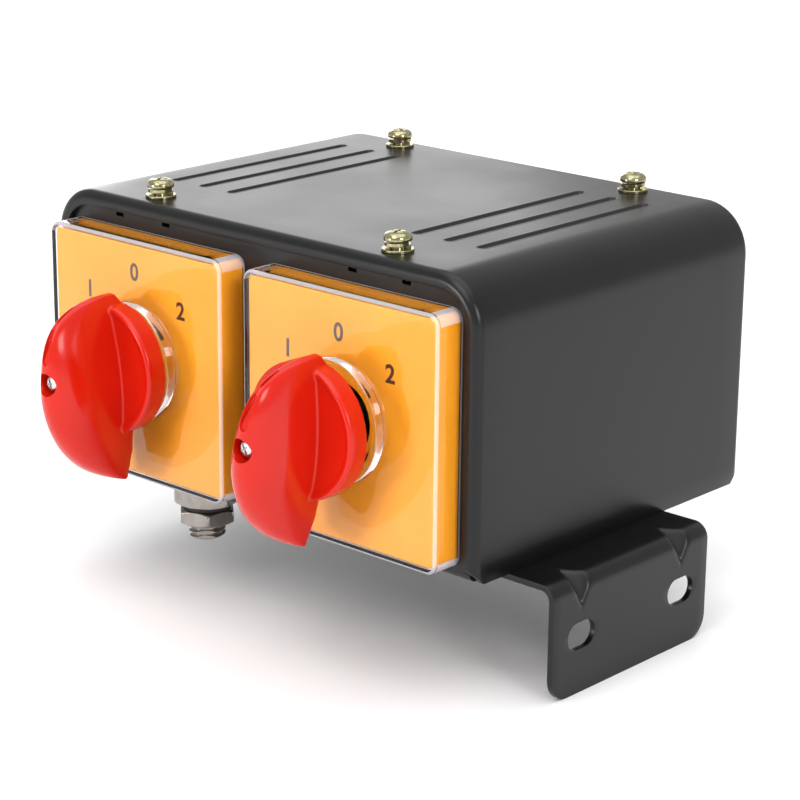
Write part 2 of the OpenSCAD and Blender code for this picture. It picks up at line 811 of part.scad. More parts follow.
module gland_seal() {
    color("#161616") at_gland() translate([0, 0, gland_seal_low]) difference() {
        cylinder(r = gland_nut_hex / 2 - gland_seal_t / 4, h = gland_seal_t);
        translate([0, 0, -over]) cylinder(r = gland_thread_r + bearing_gap, h = gland_seal_t + 2 * over);
    }
}

module gland_nut() {
    color("#b9b3a6") at_gland() translate([0, 0, gland_nut_low]) rotate(gland_nut_turn)
        nut(gland_nut_hex, gland_nut_h, gland_thread_r + thread_gap);
}

// Rubber sleeve between the body's rim and the dome nut
module gland_sleeve() {
    color("#2a2a2a") at_gland() translate([0, 0, gland_inner_end]) difference() {
        cylinder(r = gland_thread_r, h = sleeve_l);
        translate([0, 0, -over]) cylinder(r = gland_bore_r, h = sleeve_l + 2 * over);
    }
}

// Dome nut on the inner thread, closed over the sleeve but for the cable's hole
module gland_dome_nut() {
    color("#b9b3a6") at_gland() translate([0, 0, floor_top]) difference() {
        intersection() {
            cylinder(r = hex_corner_r(gland_nut_hex), h = dome_nut_h, $fn = 6);
            cylinder(r1 = hex_corner_r(gland_nut_hex) + dome_taper, r2 = gland_nut_hex / 2, h = dome_nut_h);
        }
        translate([0, 0, -over]) cylinder(r = gland_bore_r, h = dome_nut_h + 2 * over);
        translate([0, 0, -over])
            cylinder(r = gland_thread_r + thread_gap, h = sleeve_top - floor_top + over);
    }
}

module clear_cover() {
    difference() {
        union() {
            soft_front_box(clear_size, clear_d, clear_front, clear_corner_r, clear_edge_r);
            rod_y(collar_r, clear_front - collar_h, collar_h + clear_wall);
        }
        slab(clear_front + clear_wall, clear_d)
            round_rect(clear_size - 2 * clear_wall, clear_size - 2 * clear_wall, plate_corner_r);
        rod_y(collar_r - collar_wall, clear_front - collar_h - over, collar_h + clear_wall + 2 * over);
    }
}

// Shallow tray with its rim on the box's front panel
module face_plate() {
    difference() {
        soft_front_box(plate_size, panel_front - plate_front, plate_front, plate_corner_r, plate_edge_r);
        slab(plate_front + plate_wall, panel_front - plate_front)
            round_rect(plate_size - 2 * plate_wall, plate_size - 2 * plate_wall, plate_corner_r);
        rod_y(plate_hole_r, plate_front - over, plate_wall + 2 * over);
        facing_front(plate_front + plate_wall + over) for (k = [0 : 3])
            rotate(arc_slot_middle + k * 90 - arc_slot_angle / 2) rotate_extrude(angle = arc_slot_angle)
                translate([arc_slot_r, 0]) square([arc_slot_w, plate_wall + 2 * over]);
    }
}

// Disc with a rounded front edge and the hub behind it
module knob_disc() {
    rotate_extrude() {
        square([disc_r - disc_edge_r, disc_t]);
        square([disc_r, disc_t - disc_edge_r]);
        translate([disc_r - disc_edge_r, disc_t - disc_edge_r]) circle(disc_edge_r);
    }
    translate([0, 0, -hub_l]) cylinder(r = hub_r, h = hub_l + disc_t / 2);
}

// Boat-shaped blade: rings of points from tail to nose, closed by fans
ring_n = 2 * blade_sides + 1;
last_ring = ring_n * blade_rings;
blade_faces = concat(
    [for (i = [0 : blade_rings - 1], j = [0 : ring_n - 1], k = [0, 1]) k == 0
        ? [ring_n * i + j, ring_n * i + (j + 1) % ring_n, ring_n * (i + 1) + (j + 1) % ring_n]
        : [ring_n * i + j, ring_n * (i + 1) + (j + 1) % ring_n, ring_n * (i + 1) + j]],
    [for (j = [1 : ring_n - 2]) [0, j + 1, j]],
    [for (j = [1 : ring_n - 2]) [last_ring, last_ring + j, last_ring + j + 1]]);

module knob_blade() {
    polyhedron([for (i = [0 : blade_rings]) each blade_ring(blade_ring_y(i))], blade_faces);
}

function pointer_point(y, rise) = [y, spine_h(y) + rise];

// Curved strip along the spine that cuts the pointer groove
module pointer_cut() {
    step = (pointer_end - pointer_start) / pointer_steps;
    across(-pointer_w / 2, pointer_w) polygon(concat(
        [for (i = [0 : pointer_steps]) pointer_point(pointer_start + i * step, -pointer_depth)],
        [for (i = [0 : pointer_steps]) pointer_point(pointer_end - i * step, over)]));
}

module knob() {
    difference() {
        union() {
            knob_disc();
            knob_blade();
        }
        translate([0, 0, -hub_l - over]) linear_extrude(hub_l + over + knob_hole_end)
            square(knob_square + 2 * bearing_gap, center = true);
        cylinder(r = knob_screw_r + hole_gap, h = blade_h);
        translate([0, 0, spine_h(0) - screw_recess_depth]) cylinder(r = screw_recess_r, h = blade_h);
        pointer_cut();
    }
}

// Moves a piece from the knob's own axes to its place in front of the clear cover
module at_knob(side) {
    at_switch(side) facing_front(clear_front - knob_out(side)) rotate(-knob_turn(side)) children();
}

function knob_out(side) = side < 0 ? left_knob_out : right_knob_out;
function knob_turn(side) = side < 0 ? 0 : right_knob_turn;

module knob_screw() {
    translate([0, 0, spine_h(0) - screw_recess_depth])
        screw(knob_screw_r, spine_h(0) - screw_recess_depth - shaft_in_knob + knob_screw_depth,
            knob_screw_head_r, knob_screw_head_h);
}

// Shaft: knob square with its tapped end, front journal, drive square and tail journal
module shaft(side) {
    journal_front = clear_front - knob_out(side) + hub_l + turn_gap;
    at_knob(side) difference() {
        translate([0, 0, (shaft_in_knob - hub_l - turn_gap) / 2])
            cube([knob_square, knob_square, shaft_in_knob + hub_l + turn_gap], center = true);
        translate([0, 0, shaft_in_knob - knob_screw_depth - over])
            cylinder(r = knob_screw_r + thread_gap, h = knob_screw_depth + 2 * over);
    }
    at_switch(side) {
        rod_y(journal_r, journal_front, star_front - journal_front);
        slab(star_front, decks_back - star_front) square(drive_square, center = true);
        rod_y(tail_journal_r, decks_back, tail_journal_l);
    }
}

module at_mount_screws() {
    for (sx = [-1, 1], sz = [-1, 1]) translate([sx * mount_screw_place, 0, sz * mount_screw_place])
        children();
}

module at_tie_bolts() {
    for (sx = [-1, 1], sz = [-1, 1]) translate([sx * tie_bolt_place, 0, sz * tie_bolt_place])
        children();
}

module mount_screws() {
    at_mount_screws() facing_front(panel_front)
        screw(small_screw_r, 2 * sheet_t + detent_wall + sheet_t, small_head_r, small_head_h);
}

// Front housing: bearing, star wheel chamber and the two plunger channels
module detent_housing() {
    difference() {
        slab(panel_back, detent_d) round_rect(body_size, body_size, body_corner_r);
        rod_y(journal_r + bearing_gap, panel_back - over, detent_wall + 2 * over);
        rod_y(detent_cavity_r, panel_back + detent_wall, detent_d);
        slab(panel_back + detent_wall, detent_d)
            square([2 * detent_wall_x, 2 * (plunger_half_w + seat_gap)], center = true);
        at_mount_screws() rod_y(small_screw_r + thread_gap, panel_back - over, detent_d + 2 * over);
        at_tie_bolts() rod_y(small_screw_r + thread_gap, panel_back + detent_wall, detent_d);
    }
}

module star_wheel() {
    slab(star_front, star_t) difference() {
        circle(star_r);
        for (k = [0 : star_notches - 1]) rotate(k * 360 / star_notches)
            translate([star_r + star_notch_r / 2, 0]) circle(star_notch_r);
        square(drive_square + 2 * bearing_gap, center = true);
    }
}

module detent_plungers() {
    on_both_sides() slab(plunger_y, plunger_t) intersection() {
        translate([plunger_tip_x, -plunger_half_w]) square([plunger_l, 2 * plunger_half_w]);
        union() {
            translate([plunger_tip_x + plunger_half_w, 0]) circle(plunger_half_w);
            translate([plunger_tip_x + plunger_half_w, -plunger_half_w])
                square([plunger_l, 2 * plunger_half_w]);
        }
    }
}

module detent_springs() {
    spring_start = plunger_tip_x + plunger_l;
    on_both_sides() translate([0, plunger_y + plunger_t / 2, 0]) difference() {
        rod_x(detent_spring_r, spring_start, detent_wall_x - spring_start);
        rod_x(detent_spring_r - spring_wall, spring_start - over, detent_wall_x - spring_start + 2 * over);
    }
}

// Repeats a piece once for each contact deck, measured from the deck's front
module at_decks() {
    for (i = [0 : deck_count - 1]) translate([0, detent_back + i * deck_d, 0]) children();
}

// Repeats a piece on both sides of the axis
module on_both_sides() {
    for (a = [0, 180]) rotate([0, a, 0]) children();
}

module deck_cavity() {
    slab(deck_floor, deck_d) {
        circle(cam_cavity_r);
        for (s = [-1, 1]) translate([s * (chamber_start_x + chamber_end_x) / 2, 0])
            square([chamber_end_x - chamber_start_x, 2 * chamber_half_h], center = true);
        square([2 * contact_wall_x, 2 * (contact_spring_r + seat_gap)], center = true);
    }
}

module decks() {
    at_decks() difference() {
        slab(0, deck_d - seat_gap) round_rect(body_size, body_size, body_corner_r);
        rod_y(drive_square, -over, deck_floor + 2 * over);
        deck_cavity();
        at_tie_bolts() rod_y(small_screw_r + hole_gap, -over, deck_d + 2 * over);
        on_both_sides() for (s = [-1, 1]) translate([0, cam_mid, s * terminal_z]) {
            rod_x(small_screw_r + thread_gap, chamber_end_x - over, body_size);
            translate([body_size / 2 - terminal_t, -terminal_face_h / 2 - seat_gap, -terminal_slot_w / 2])
                cube([2 * terminal_t, terminal_face_h + 2 * seat_gap, terminal_slot_w]);
            translate([chamber_end_x - over, leg_offset - seat_gap, -terminal_slot_w / 2])
                cube([body_size / 2 - chamber_end_x + 2 * over, terminal_t + 2 * seat_gap, terminal_slot_w]);
        }
    }
}

// Cams on the drive square, each turned so that its notches meet the followers in another position
module cams() {
    at_decks() slab(cam_front, cam_t) difference() {
        circle(cam_r);
        for (a = cam_notch_angles) rotate(a) translate([cam_r + star_notch_r - cam_notch_depth, 0])
            circle(star_notch_r);
        square(drive_square + 2 * bearing_gap, center = true);
    }
}

module followers() {
    at_decks() on_both_sides() translate([follower_x, cam_mid - bridge_h / 2, -follower_w / 2])
        cube([follower_l, bridge_h, follower_w]);
}

module bridges() {
    at_decks() on_both_sides() translate([bridge_x, cam_mid - bridge_h / 2, -bridge_l / 2])
        cube([bridge_t, bridge_h, bridge_l]);
}

module contact_springs() {
    at_decks() on_both_sides() translate([0, cam_mid, 0]) difference() {
        rod_x(contact_spring_r, spring_x, contact_wall_x - spring_x);
        rod_x(contact_spring_r - spring_wall, spring_x - over, contact_wall_x - spring_x + 2 * over);
    }
}

// Fixed contact, its strip through the deck's wall and the outer face that the screw clamps
module terminals() {
    at_decks() on_both_sides() for (s = [-1, 1]) translate([0, cam_mid, s * terminal_z]) difference() {
        union() {
            translate([body_size / 2 - terminal_t, -terminal_face_h / 2, -terminal_w / 2])
                cube([terminal_t, terminal_face_h, terminal_w]);
            translate([fixed_x, leg_offset, -terminal_w / 2])
                cube([body_size / 2 - fixed_x, terminal_t, terminal_w]);
            translate([fixed_x, -bridge_h / 2, s < 0 ? terminal_w / 2 - tip_reach : -terminal_w / 2])
                cube([terminal_t, bridge_h / 2 + leg_offset + terminal_t, tip_reach]);
        }
        rod_x(small_screw_r + hole_gap, body_size / 2 - 2 * terminal_t, 4 * terminal_t);
    }
}

module terminal_screws() {
    at_decks() on_both_sides() for (s = [-1, 1]) translate([body_size / 2, cam_mid, s * terminal_z])
        rotate([0, 90, 0]) screw(small_screw_r, terminal_screw_l, terminal_w / 2, small_head_h);
}

module end_plate() {
    difference() {
        slab(decks_back, end_plate_t) round_rect(body_size, body_size, body_corner_r);
        rod_y(tail_journal_r + bearing_gap, decks_back - over, tail_journal_l + turn_gap + over);
        at_tie_bolts() rod_y(small_screw_r + hole_gap, decks_back - over, end_plate_t + 2 * over);
    }
}

module tie_bolts() {
    at_tie_bolts() translate([0, end_plate_back, 0]) rotate([-90, 0, 0])
        screw(small_screw_r, tie_bolt_l, small_head_r, small_head_h);
}

module left_clear_cover() { color([0.95, 0.95, 1, 0.35]) at_switch(-1) clear_cover(); }
module left_face_plate() { color("#f9b233") at_switch(-1) face_plate(); }
module left_knob() { color("#e2231a") at_knob(-1) knob(); }
module left_knob_screw() { color("#cfcfcf") at_knob(-1) knob_screw(); }
module left_shaft() { color("#9a9a9a") shaft(-1); }
module left_mount_screws() { color("#cfcfcf") at_switch(-1) mount_screws(); }
module left_detent_housing() { color("#2b2b2b") at_switch(-1) detent_housing(); }
module left_star_wheel() { color("#e8e4d8") at_switch(-1) star_wheel(); }
module left_detent_plungers() { color("#e8e4d8") at_switch(-1) detent_plungers(); }
module left_detent_springs() { color("#9a9a9a") at_switch(-1) detent_springs(); }
module left_decks() { color("#d9d2c0") at_switch(-1) decks(); }
module left_cams() { color("#a33b2a") at_switch(-1) cams(); }
module left_followers() { color("#e8e4d8") at_switch(-1) followers(); }
module left_bridges() { color("#b87333") at_switch(-1) bridges(); }
module left_contact_springs() { color("#9a9a9a") at_switch(-1) contact_springs(); }
module left_terminals() { color("#b5893c") at_switch(-1) terminals(); }
module left_terminal_screws() { color("#cfcfcf") at_switch(-1) terminal_screws(); }
module left_end_plate() { color("#2b2b2b") at_switch(-1) end_plate(); }
module left_tie_bolts() { color("#cfcfcf") at_switch(-1) tie_bolts(); }

module right_clear_cover() { color([0.95, 0.95, 1, 0.35]) at_switch(1) clear_cover(); }
module right_face_plate() { color("#f9b233") at_switch(1) face_plate(); }
module right_knob() { color("#e2231a") at_knob(1) knob(); }
module right_knob_screw() { color("#cfcfcf") at_knob(1) knob_screw(); }
module right_shaft() { color("#9a9a9a") shaft(1); }
module right_mount_screws() { color("#cfcfcf") at_switch(1) mount_screws(); }
module right_detent_housing() { color("#2b2b2b") at_switch(1) detent_housing(); }
module right_star_wheel() { color("#e8e4d8") at_switch(1) star_wheel(); }
module right_detent_plungers() { color("#e8e4d8") at_switch(1) detent_plungers(); }
module right_detent_springs() { color("#9a9a9a") at_switch(1) detent_springs(); }
module right_decks() { color("#d9d2c0") at_switch(1) decks(); }
module right_cams() { color("#a33b2a") at_switch(1) cams(); }
module right_followers() { color("#e8e4d8") at_switch(1) followers(); }
module right_bridges() { color("#b87333") at_switch(1) bridges(); }
module right_contact_springs() { color("#9a9a9a") at_switch(1) contact_springs(); }
module right_terminals() { color("#b5893c") at_switch(1) terminals(); }
module right_terminal_screws() { color("#cfcfcf") at_switch(1) terminal_screws(); }
module right_end_plate() { color("#2b2b2b") at_switch(1) end_plate(); }
module right_tie_bolts() { color("#cfcfcf") at_switch(1) tie_bolts(); }

cover();
chassis();
cover_nuts();
cover_screws();
split_washers();
flat_washers();
bracket();
bracket_screws();
bracket_nuts();
gland_body();
gland_seal();
gland_nut();
gland_sleeve();
gland_dome_nut();
left_clear_cover();
left_face_plate();
left_knob();
left_knob_screw();
left_shaft();
left_mount_screws();
left_detent_housing();
left_star_wheel();
left_detent_plungers();
left_detent_springs();
left_decks();
left_cams();
left_followers();
left_bridges();
left_contact_springs();
left_terminals();
left_terminal_screws();
left_end_plate();
left_tie_bolts();
right_clear_cover();
right_face_plate();
right_knob();
right_knob_screw();
right_shaft();
right_mount_screws();
right_detent_housing();
right_star_wheel();
right_detent_plungers();
right_detent_springs();
right_decks();
right_cams();
right_followers();
right_bridges();
right_contact_springs();
right_terminals();
right_terminal_screws();
right_end_plate();
right_tie_bolts();
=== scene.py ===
import math

import bmesh
import bpy
import numpy as np
from mathutils import Matrix, Vector


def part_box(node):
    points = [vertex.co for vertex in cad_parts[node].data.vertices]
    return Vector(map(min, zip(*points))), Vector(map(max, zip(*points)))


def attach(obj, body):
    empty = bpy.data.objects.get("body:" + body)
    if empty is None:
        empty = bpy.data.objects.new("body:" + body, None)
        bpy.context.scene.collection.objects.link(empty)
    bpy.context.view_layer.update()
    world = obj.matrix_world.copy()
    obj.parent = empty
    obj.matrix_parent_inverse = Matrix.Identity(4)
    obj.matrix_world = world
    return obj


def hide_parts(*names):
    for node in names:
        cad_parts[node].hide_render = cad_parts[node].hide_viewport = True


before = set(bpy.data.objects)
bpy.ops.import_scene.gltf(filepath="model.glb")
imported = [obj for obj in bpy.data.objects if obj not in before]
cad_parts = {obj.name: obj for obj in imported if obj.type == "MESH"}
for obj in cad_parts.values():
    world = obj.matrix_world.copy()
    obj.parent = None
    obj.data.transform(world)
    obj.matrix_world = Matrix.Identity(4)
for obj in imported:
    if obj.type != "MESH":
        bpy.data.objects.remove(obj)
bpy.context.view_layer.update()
mm = 0.001


# ---- Camera ----
# A long lens from the right front, a little above the box. Place, direction and
# lens come from fitting the straight edges of the box in the photograph.
camera_place = Vector((0.34696, -0.47000, 0.23504))
camera_right = Vector((0.739822, 0.672734, 0.009618))
camera_up = Vector((-0.206602, 0.213553, 0.954835))
camera_back = camera_right.cross(camera_up)
camera = bpy.data.objects.new("camera", bpy.data.cameras.new("camera"))
camera.data.sensor_width = 36
camera.data.lens = 113.9
camera.data.clip_end = 20
camera.matrix_world = Matrix((camera_right, camera_up, camera_back)).transposed().to_4x4()
camera.matrix_world.translation = camera_place
bpy.context.scene.collection.objects.link(camera)
bpy.context.scene.camera = camera
bpy.context.scene.view_settings.view_transform = "Standard"


# ---- Cover ----
# One sheet of 1.5 mm steel, folded into a U with round top corners, its front and
# back edges folded in as lips. Six grooves are pressed into the top. It is coated
# with smooth black powder, which shows a faint orange peel.
cover_low, cover_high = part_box("cover")
box_mid_x = (cover_low.x + cover_high.x) / 2
box_w, box_d, box_h = cover_high - cover_low
corner_r, sheet_t, fold_r, lip_w = 13 * mm, 1.5 * mm, 2.5 * mm, 4 * mm
rib_group_x, rib_pitch, rib_y, rib_l = 43 * mm, 10.5 * mm, 25 * mm, 64 * mm
rib_half_w, rib_depth, rib_shoulder = 1.3 * mm, 0.85 * mm, 0.07 * mm
top_screw_x, top_screw_y = 41.5 * mm, 8 * mm


def box_point(x, y, z):
    """A place in the part's frame, from the middle, front and foot of the box."""
    return Vector((box_mid_x + x, cover_low.y + y, cover_low.z + z))


def variation_group():
    """Node group for fine grain and broad patches, which every finish here uses."""
    group = bpy.data.node_groups.new("surface_variation", "ShaderNodeTree")
    for name, way in (("Grain Size", "INPUT"), ("Patch Size", "INPUT"),
                      ("Grain", "OUTPUT"), ("Patches", "OUTPUT")):
        group.interface.new_socket(name=name, in_out=way, socket_type="NodeSocketFloat")
    nodes, links = group.nodes, group.links
    start, end = nodes.new("NodeGroupInput"), nodes.new("NodeGroupOutput")
    place = nodes.new("ShaderNodeTexCoord")
    for label, size, detail in (("Grain", "Grain Size", 2), ("Patches", "Patch Size", 4)):
        per_metre = nodes.new("ShaderNodeMath")
        per_metre.operation = "DIVIDE"
        per_metre.inputs[0].default_value = 1
        noise = nodes.new("ShaderNodeTexNoise")
        noise.inputs["Detail"].default_value = detail
        links.new(start.outputs[size], per_metre.inputs[1])
        links.new(per_metre.outputs[0], noise.inputs["Scale"])
        links.new(place.outputs["Object"], noise.inputs["Vector"])
        links.new(noise.outputs["Fac"], end.inputs[label])
    return group


surface_variation = variation_group()


def finish(name, colours, roughness, grain=0.4 * mm, patch=20 * mm, bump=0.05, bump_depth=0.02 * mm,
           **sockets):
    """A material whose colour and roughness drift over broad patches, with a fine bumpy grain."""
    noise_low, noise_high = 0.35, 0.65
    material = bpy.data.materials.new(name)
    material.use_nodes = True
    nodes, links = material.node_tree.nodes, material.node_tree.links
    shader = nodes["Principled BSDF"]
    variation = nodes.new("ShaderNodeGroup")
    variation.node_tree = surface_variation
    variation.inputs["Grain Size"].default_value = grain
    variation.inputs["Patch Size"].default_value = patch
    ramp = nodes.new("ShaderNodeValToRGB")
    while len(ramp.color_ramp.elements) < len(colours):
        ramp.color_ramp.elements.new(0.5)
    for i, (element, colour) in enumerate(zip(ramp.color_ramp.elements, colours)):
        element.position = noise_low + (noise_high - noise_low) * i / max(1, len(colours) - 1)
        element.color = (*colour, 1)
    rough = nodes.new("ShaderNodeMapRange")
    rough.inputs["From Min"].default_value, rough.inputs["From Max"].default_value = noise_low, noise_high
    rough.inputs["To Min"].default_value, rough.inputs["To Max"].default_value = roughness
    relief = nodes.new("ShaderNodeBump")
    relief.inputs["Strength"].default_value = bump
    relief.inputs["Distance"].default_value = bump_depth
    links.new(variation.outputs["Patches"], ramp.inputs["Fac"])
    links.new(variation.outputs["Patches"], rough.inputs["Value"])
    links.new(variation.outputs["Grain"], relief.inputs["Height"])
    links.new(ramp.outputs["Color"], shader.inputs["Base Color"])
    links.new(rough.outputs["Result"], shader.inputs["Roughness"])
    links.new(relief.outputs["Normal"], shader.inputs["Normal"])
    for socket, value in sockets.items():
        shader.inputs[socket.replace("_", " ")].default_value = value
    return material


def new_piece(name, verts, faces, material):
    """A mesh object with outward faces."""
    mesh = bpy.data.meshes.new(name)
    mesh.from_pydata([tuple(v) for v in verts], [], faces)
    piece = bpy.data.objects.new(name, mesh)
    bpy.context.scene.collection.objects.link(piece)
    work = bmesh.new()
    work.from_mesh(mesh)
    bmesh.ops.recalc_face_normals(work, faces=work.faces)
    work.to_mesh(mesh)
    work.free()
    mesh.materials.append(material)
    return piece


def apply_modifiers(piece):
    """Replaces the piece's mesh by what its modifiers make of it."""
    shape = piece.evaluated_get(bpy.context.evaluated_depsgraph_get())
    made = bpy.data.meshes.new_from_object(shape)
    piece.modifiers.clear()
    piece.data = made


def cut_away(piece, cutters):
    """Takes the cutters' shapes out of the piece."""
    for cutter in cutters:
        step = piece.modifiers.new("cut", "BOOLEAN")
        step.operation, step.solver, step.object = "DIFFERENCE", "EXACT", cutter
    bpy.context.view_layer.update()
    apply_modifiers(piece)
    for cutter in cutters:
        bpy.data.objects.remove(cutter)


def soften(piece, width, segments=2, angle=35, smooth_angle=40):
    """Rounds the sharp edges and shades the rest smooth."""
    step = piece.modifiers.new("edges", "BEVEL")
    step.width, step.segments, step.limit_method = width, segments, "ANGLE"
    step.angle_limit = math.radians(angle)
    apply_modifiers(piece)
    smooth(piece, smooth_angle)


def smooth(piece, angle=40):
    """Shades the piece smooth, but keeps edges sharp that turn by more than the angle."""
    piece.data.shade_smooth()
    piece.data.set_sharp_from_angle(angle=math.radians(angle))
    return piece


def ring_faces(count, n, closed=False):
    """Quads between count rings of n points each; closed joins the last ring to the first."""
    faces = []
    for i in range(count if closed else count - 1):
        a, b = i * n, (i + 1) % count * n
        faces += [(a + j, a + (j + 1) % n, b + (j + 1) % n, b + j) for j in range(n)]
    return faces


def arc(cx, cy, r, start, end, steps):
    """Points on a circle, from one angle to another in degrees."""
    turn = [math.radians(start + (end - start) * i / steps) for i in range(steps + 1)]
    return [(cx + r * math.cos(a), cy + r * math.sin(a)) for a in turn]


def places(low, high, step, fine=(), reach=0.0, fine_step=1.0):
    """Rising places from low to high, closer together around the fine ones."""
    found = set(np.round(np.linspace(low, high, max(2, int((high - low) / step) + 1)), 7))
    for middle in fine:
        near = np.arange(middle - reach, middle + reach + fine_step / 2, fine_step)
        found |= {round(float(p), 7) for p in near if low < p < high}
    rising = sorted(found)
    kept = [rising[0]]
    for p in rising[1:]:
        if p - kept[-1] > fine_step * 0.6:
            kept.append(p)
    kept[-1] = high
    return kept


rib_places = [side * rib_group_x + i * rib_pitch for side in (-1, 1) for i in (-1, 0, 1)]


def rib_sink(x, y):
    """How deep the pressed grooves go at a place on the top, with a faint raised rim round each."""
    rim_w = 0.4
    for rib_x in rib_places:
        past = max(rib_y - y, y - rib_y - rib_l, 0)
        away = math.hypot(x - rib_x, past) / rib_half_w
        if away < 1:
            return rib_depth * (1 - away ** 2) ** 1.2
        if away < 1 + rim_w:
            return -rib_shoulder * math.sin(math.pi * (away - 1) / rim_w)
    return 0


def cover_sheet():
    """The folded sheet as one skin: stations round the U, each a loop over its outer and inner face."""
    half, straight = box_w / 2, box_h - corner_r
    left_side = [(-half, z, -1, 0) for z in np.linspace(0, straight, 13)[:-1]]
    for x, z in arc(0, 0, 1, 180, 90, 14):
        left_side.append((corner_r - half + corner_r * x, straight + corner_r * z, x, z))
    across = places(corner_r - half, half - corner_r, 7 * mm, rib_places, 2.4 * mm, 0.2 * mm)
    stations = left_side + [(x, box_h, 0, 1) for x in across[1:-1]]
    stations += [(-x, z, -nx, nz) for x, z, nx, nz in left_side[::-1]]
    depths = places(fold_r, box_d - fold_r, 8 * mm, (rib_y, rib_y + rib_l), 2.5 * mm, 0.25 * mm)
    inner_r = fold_r - sheet_t
    front = arc(fold_r, fold_r, fold_r, 270, 180, 8)
    outer = [(lip_w, 0)] + front + [(0, y) for y in depths[1:-1]]
    outer += [(d, box_d - y) for d, y in front[::-1]] + [(lip_w, box_d)]
    bend = arc(fold_r, fold_r, inner_r, 270, 180, 8)
    inner = [(lip_w, sheet_t)] + bend + [(sheet_t, y) for y in depths[1:-1]]
    inner += [(d, box_d - y) for d, y in bend[::-1]] + [(lip_w, box_d - sheet_t)]
    loop = outer + inner[::-1]
    verts = []
    for x, z, nx, nz in stations:
        for inset, y in loop:
            sink = rib_sink(x, y) if nz == 1 else 0
            verts.append(box_point(x - nx * inset, y, z - nz * inset - sink))
    faces = ring_faces(len(stations), len(loop))
    n, last = len(loop), (len(stations) - 1) * len(loop)
    for i in range(n // 2 - 1):
        faces.append((i, i + 1, n - 2 - i, n - 1 - i))
        faces.append((last + i, last + i + 1, last + n - 2 - i, last + n - 1 - i))
    return verts, faces


powder_coat = finish("black_powder_coat", [(0.0028, 0.0028, 0.0029), (0.004, 0.004, 0.0041)], (0.28, 0.33),
                     grain=0.35 * mm, patch=30 * mm, bump=0.1, bump_depth=0.02 * mm, IOR=1.41)
hole_r, mitre = 1.95 * mm, 3.68 * mm
top_screw_spots = [(side * top_screw_x, y) for side in (-1, 1) for y in (top_screw_y, box_d - top_screw_y)]


def cutter_between(verts, material):
    """A closed cutter from two outlines of the same length, one after the other."""
    n = len(verts) // 2
    faces = ring_faces(2, n) + [tuple(range(n)), tuple(range(n, 2 * n))]
    return new_piece("cutter", verts, faces, material)


def hole_cutter(x, y):
    """Drills the hole for a cover screw through the top."""
    outline = arc(x, y, hole_r, 0, 345, 23)
    verts = [box_point(px, py, z) for z in (box_h - 4 * mm, box_h + 2 * mm) for px, py in outline]
    return cutter_between(verts, powder_coat)


def mitre_cutter(side, y):
    """Takes the corner off the foot of a fold, through the lip and the side."""
    corners = [(mitre * math.cos(a), mitre * math.sin(a)) for a in (i * math.pi / 2 for i in range(4))]
    verts = [box_point(side * x, y + py, pz)
             for x in (box_w / 2 - lip_w - mm, box_w / 2 + mm) for py, pz in corners]
    return cutter_between(verts, powder_coat)


cover = new_piece("folded_cover", *cover_sheet(), powder_coat)
cut_away(cover, [mitre_cutter(side, y) for side in (-1, 1) for y in (0, box_d)]
         + [hole_cutter(x, y) for x, y in top_screw_spots])
soften(cover, 0.22 * mm, angle=60)
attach(cover, "base")
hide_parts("cover")


# ---- Chassis ----
# The front panel, floor and back panel are folded from one sheet, with tabs turned
# back under the cover. Same steel and coat as the cover.
def dress(node, material):
    """Gives a CAD node its finish."""
    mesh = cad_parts[node].data
    mesh.materials.clear()
    mesh.materials.append(material)


dress("chassis", powder_coat)


# ---- Cover fixings ----
# Four M3.5 pan head screws with cross slots, each over a split washer and a flat washer,
# held by hexagon nuts. Zinc plate, passivated yellow, so each face has its own cast.
yellow_zinc = finish("yellow_zinc", [(0.26, 0.23, 0.09), (0.46, 0.43, 0.25), (0.27, 0.28, 0.17),
                                     (0.46, 0.32, 0.21)],
                     (0.1, 0.2), grain=0.3 * mm, patch=1.4 * mm, bump=0.2, bump_depth=0.02 * mm, Metallic=1.0)
head_r, head_h, shank_r, top_screw_l = 3.5 * mm, 2.275 * mm, 1.75 * mm, 8.9 * mm
washer_t, washer_r, split_h, split_r, split_t = 0.8 * mm, 4.0 * mm, 1.9 * mm, 3.25 * mm, 1.0 * mm
quarter_turns = ((1, 0), (0, 1), (-1, 0), (0, -1))


def lathe(profile, steps=56):
    """Vertices and faces of a profile of (radius, height) turned about z; ends on the axis are closed."""
    verts, faces, rows = [], [], []
    for r, z in profile:
        if r < 1e-7:
            rows.append([len(verts)])
            verts.append((0, 0, z))
            continue
        rows.append(list(range(len(verts), len(verts) + steps)))
        verts += [(r * math.cos(2 * math.pi * j / steps), r * math.sin(2 * math.pi * j / steps), z)
                  for j in range(steps)]
    for low, high in zip(rows, rows[1:]):
        for j in range(steps):
            k = (j + 1) % steps
            if len(low) == 1:
                faces.append((low[0], high[k], high[j]))
            elif len(high) == 1:
                faces.append((low[j], low[k], high[0]))
            else:
                faces.append((low[j], low[k], high[k], high[j]))
    return verts, faces


def cross_cutter(reach, width, depth, top):
    """A tapered cross that cuts the screwdriver's recess."""
    def outline(arm, half, z):
        return [(c * x - s * y, s * x + c * y, z) for c, s in quarter_turns
                for x, y in ((half, half), (half, arm), (-half, arm))]

    verts = outline(reach, width / 2, top + depth) + outline(reach * 0.95, width / 2, top)
    verts += outline(reach * 0.42, width * 0.3, top - depth)
    n = len(verts) // 3
    faces = ring_faces(3, n) + [tuple(range(n)), tuple(range(3 * n - 1, 2 * n - 1, -1))]
    return new_piece("cutter", verts, faces, powder_coat)


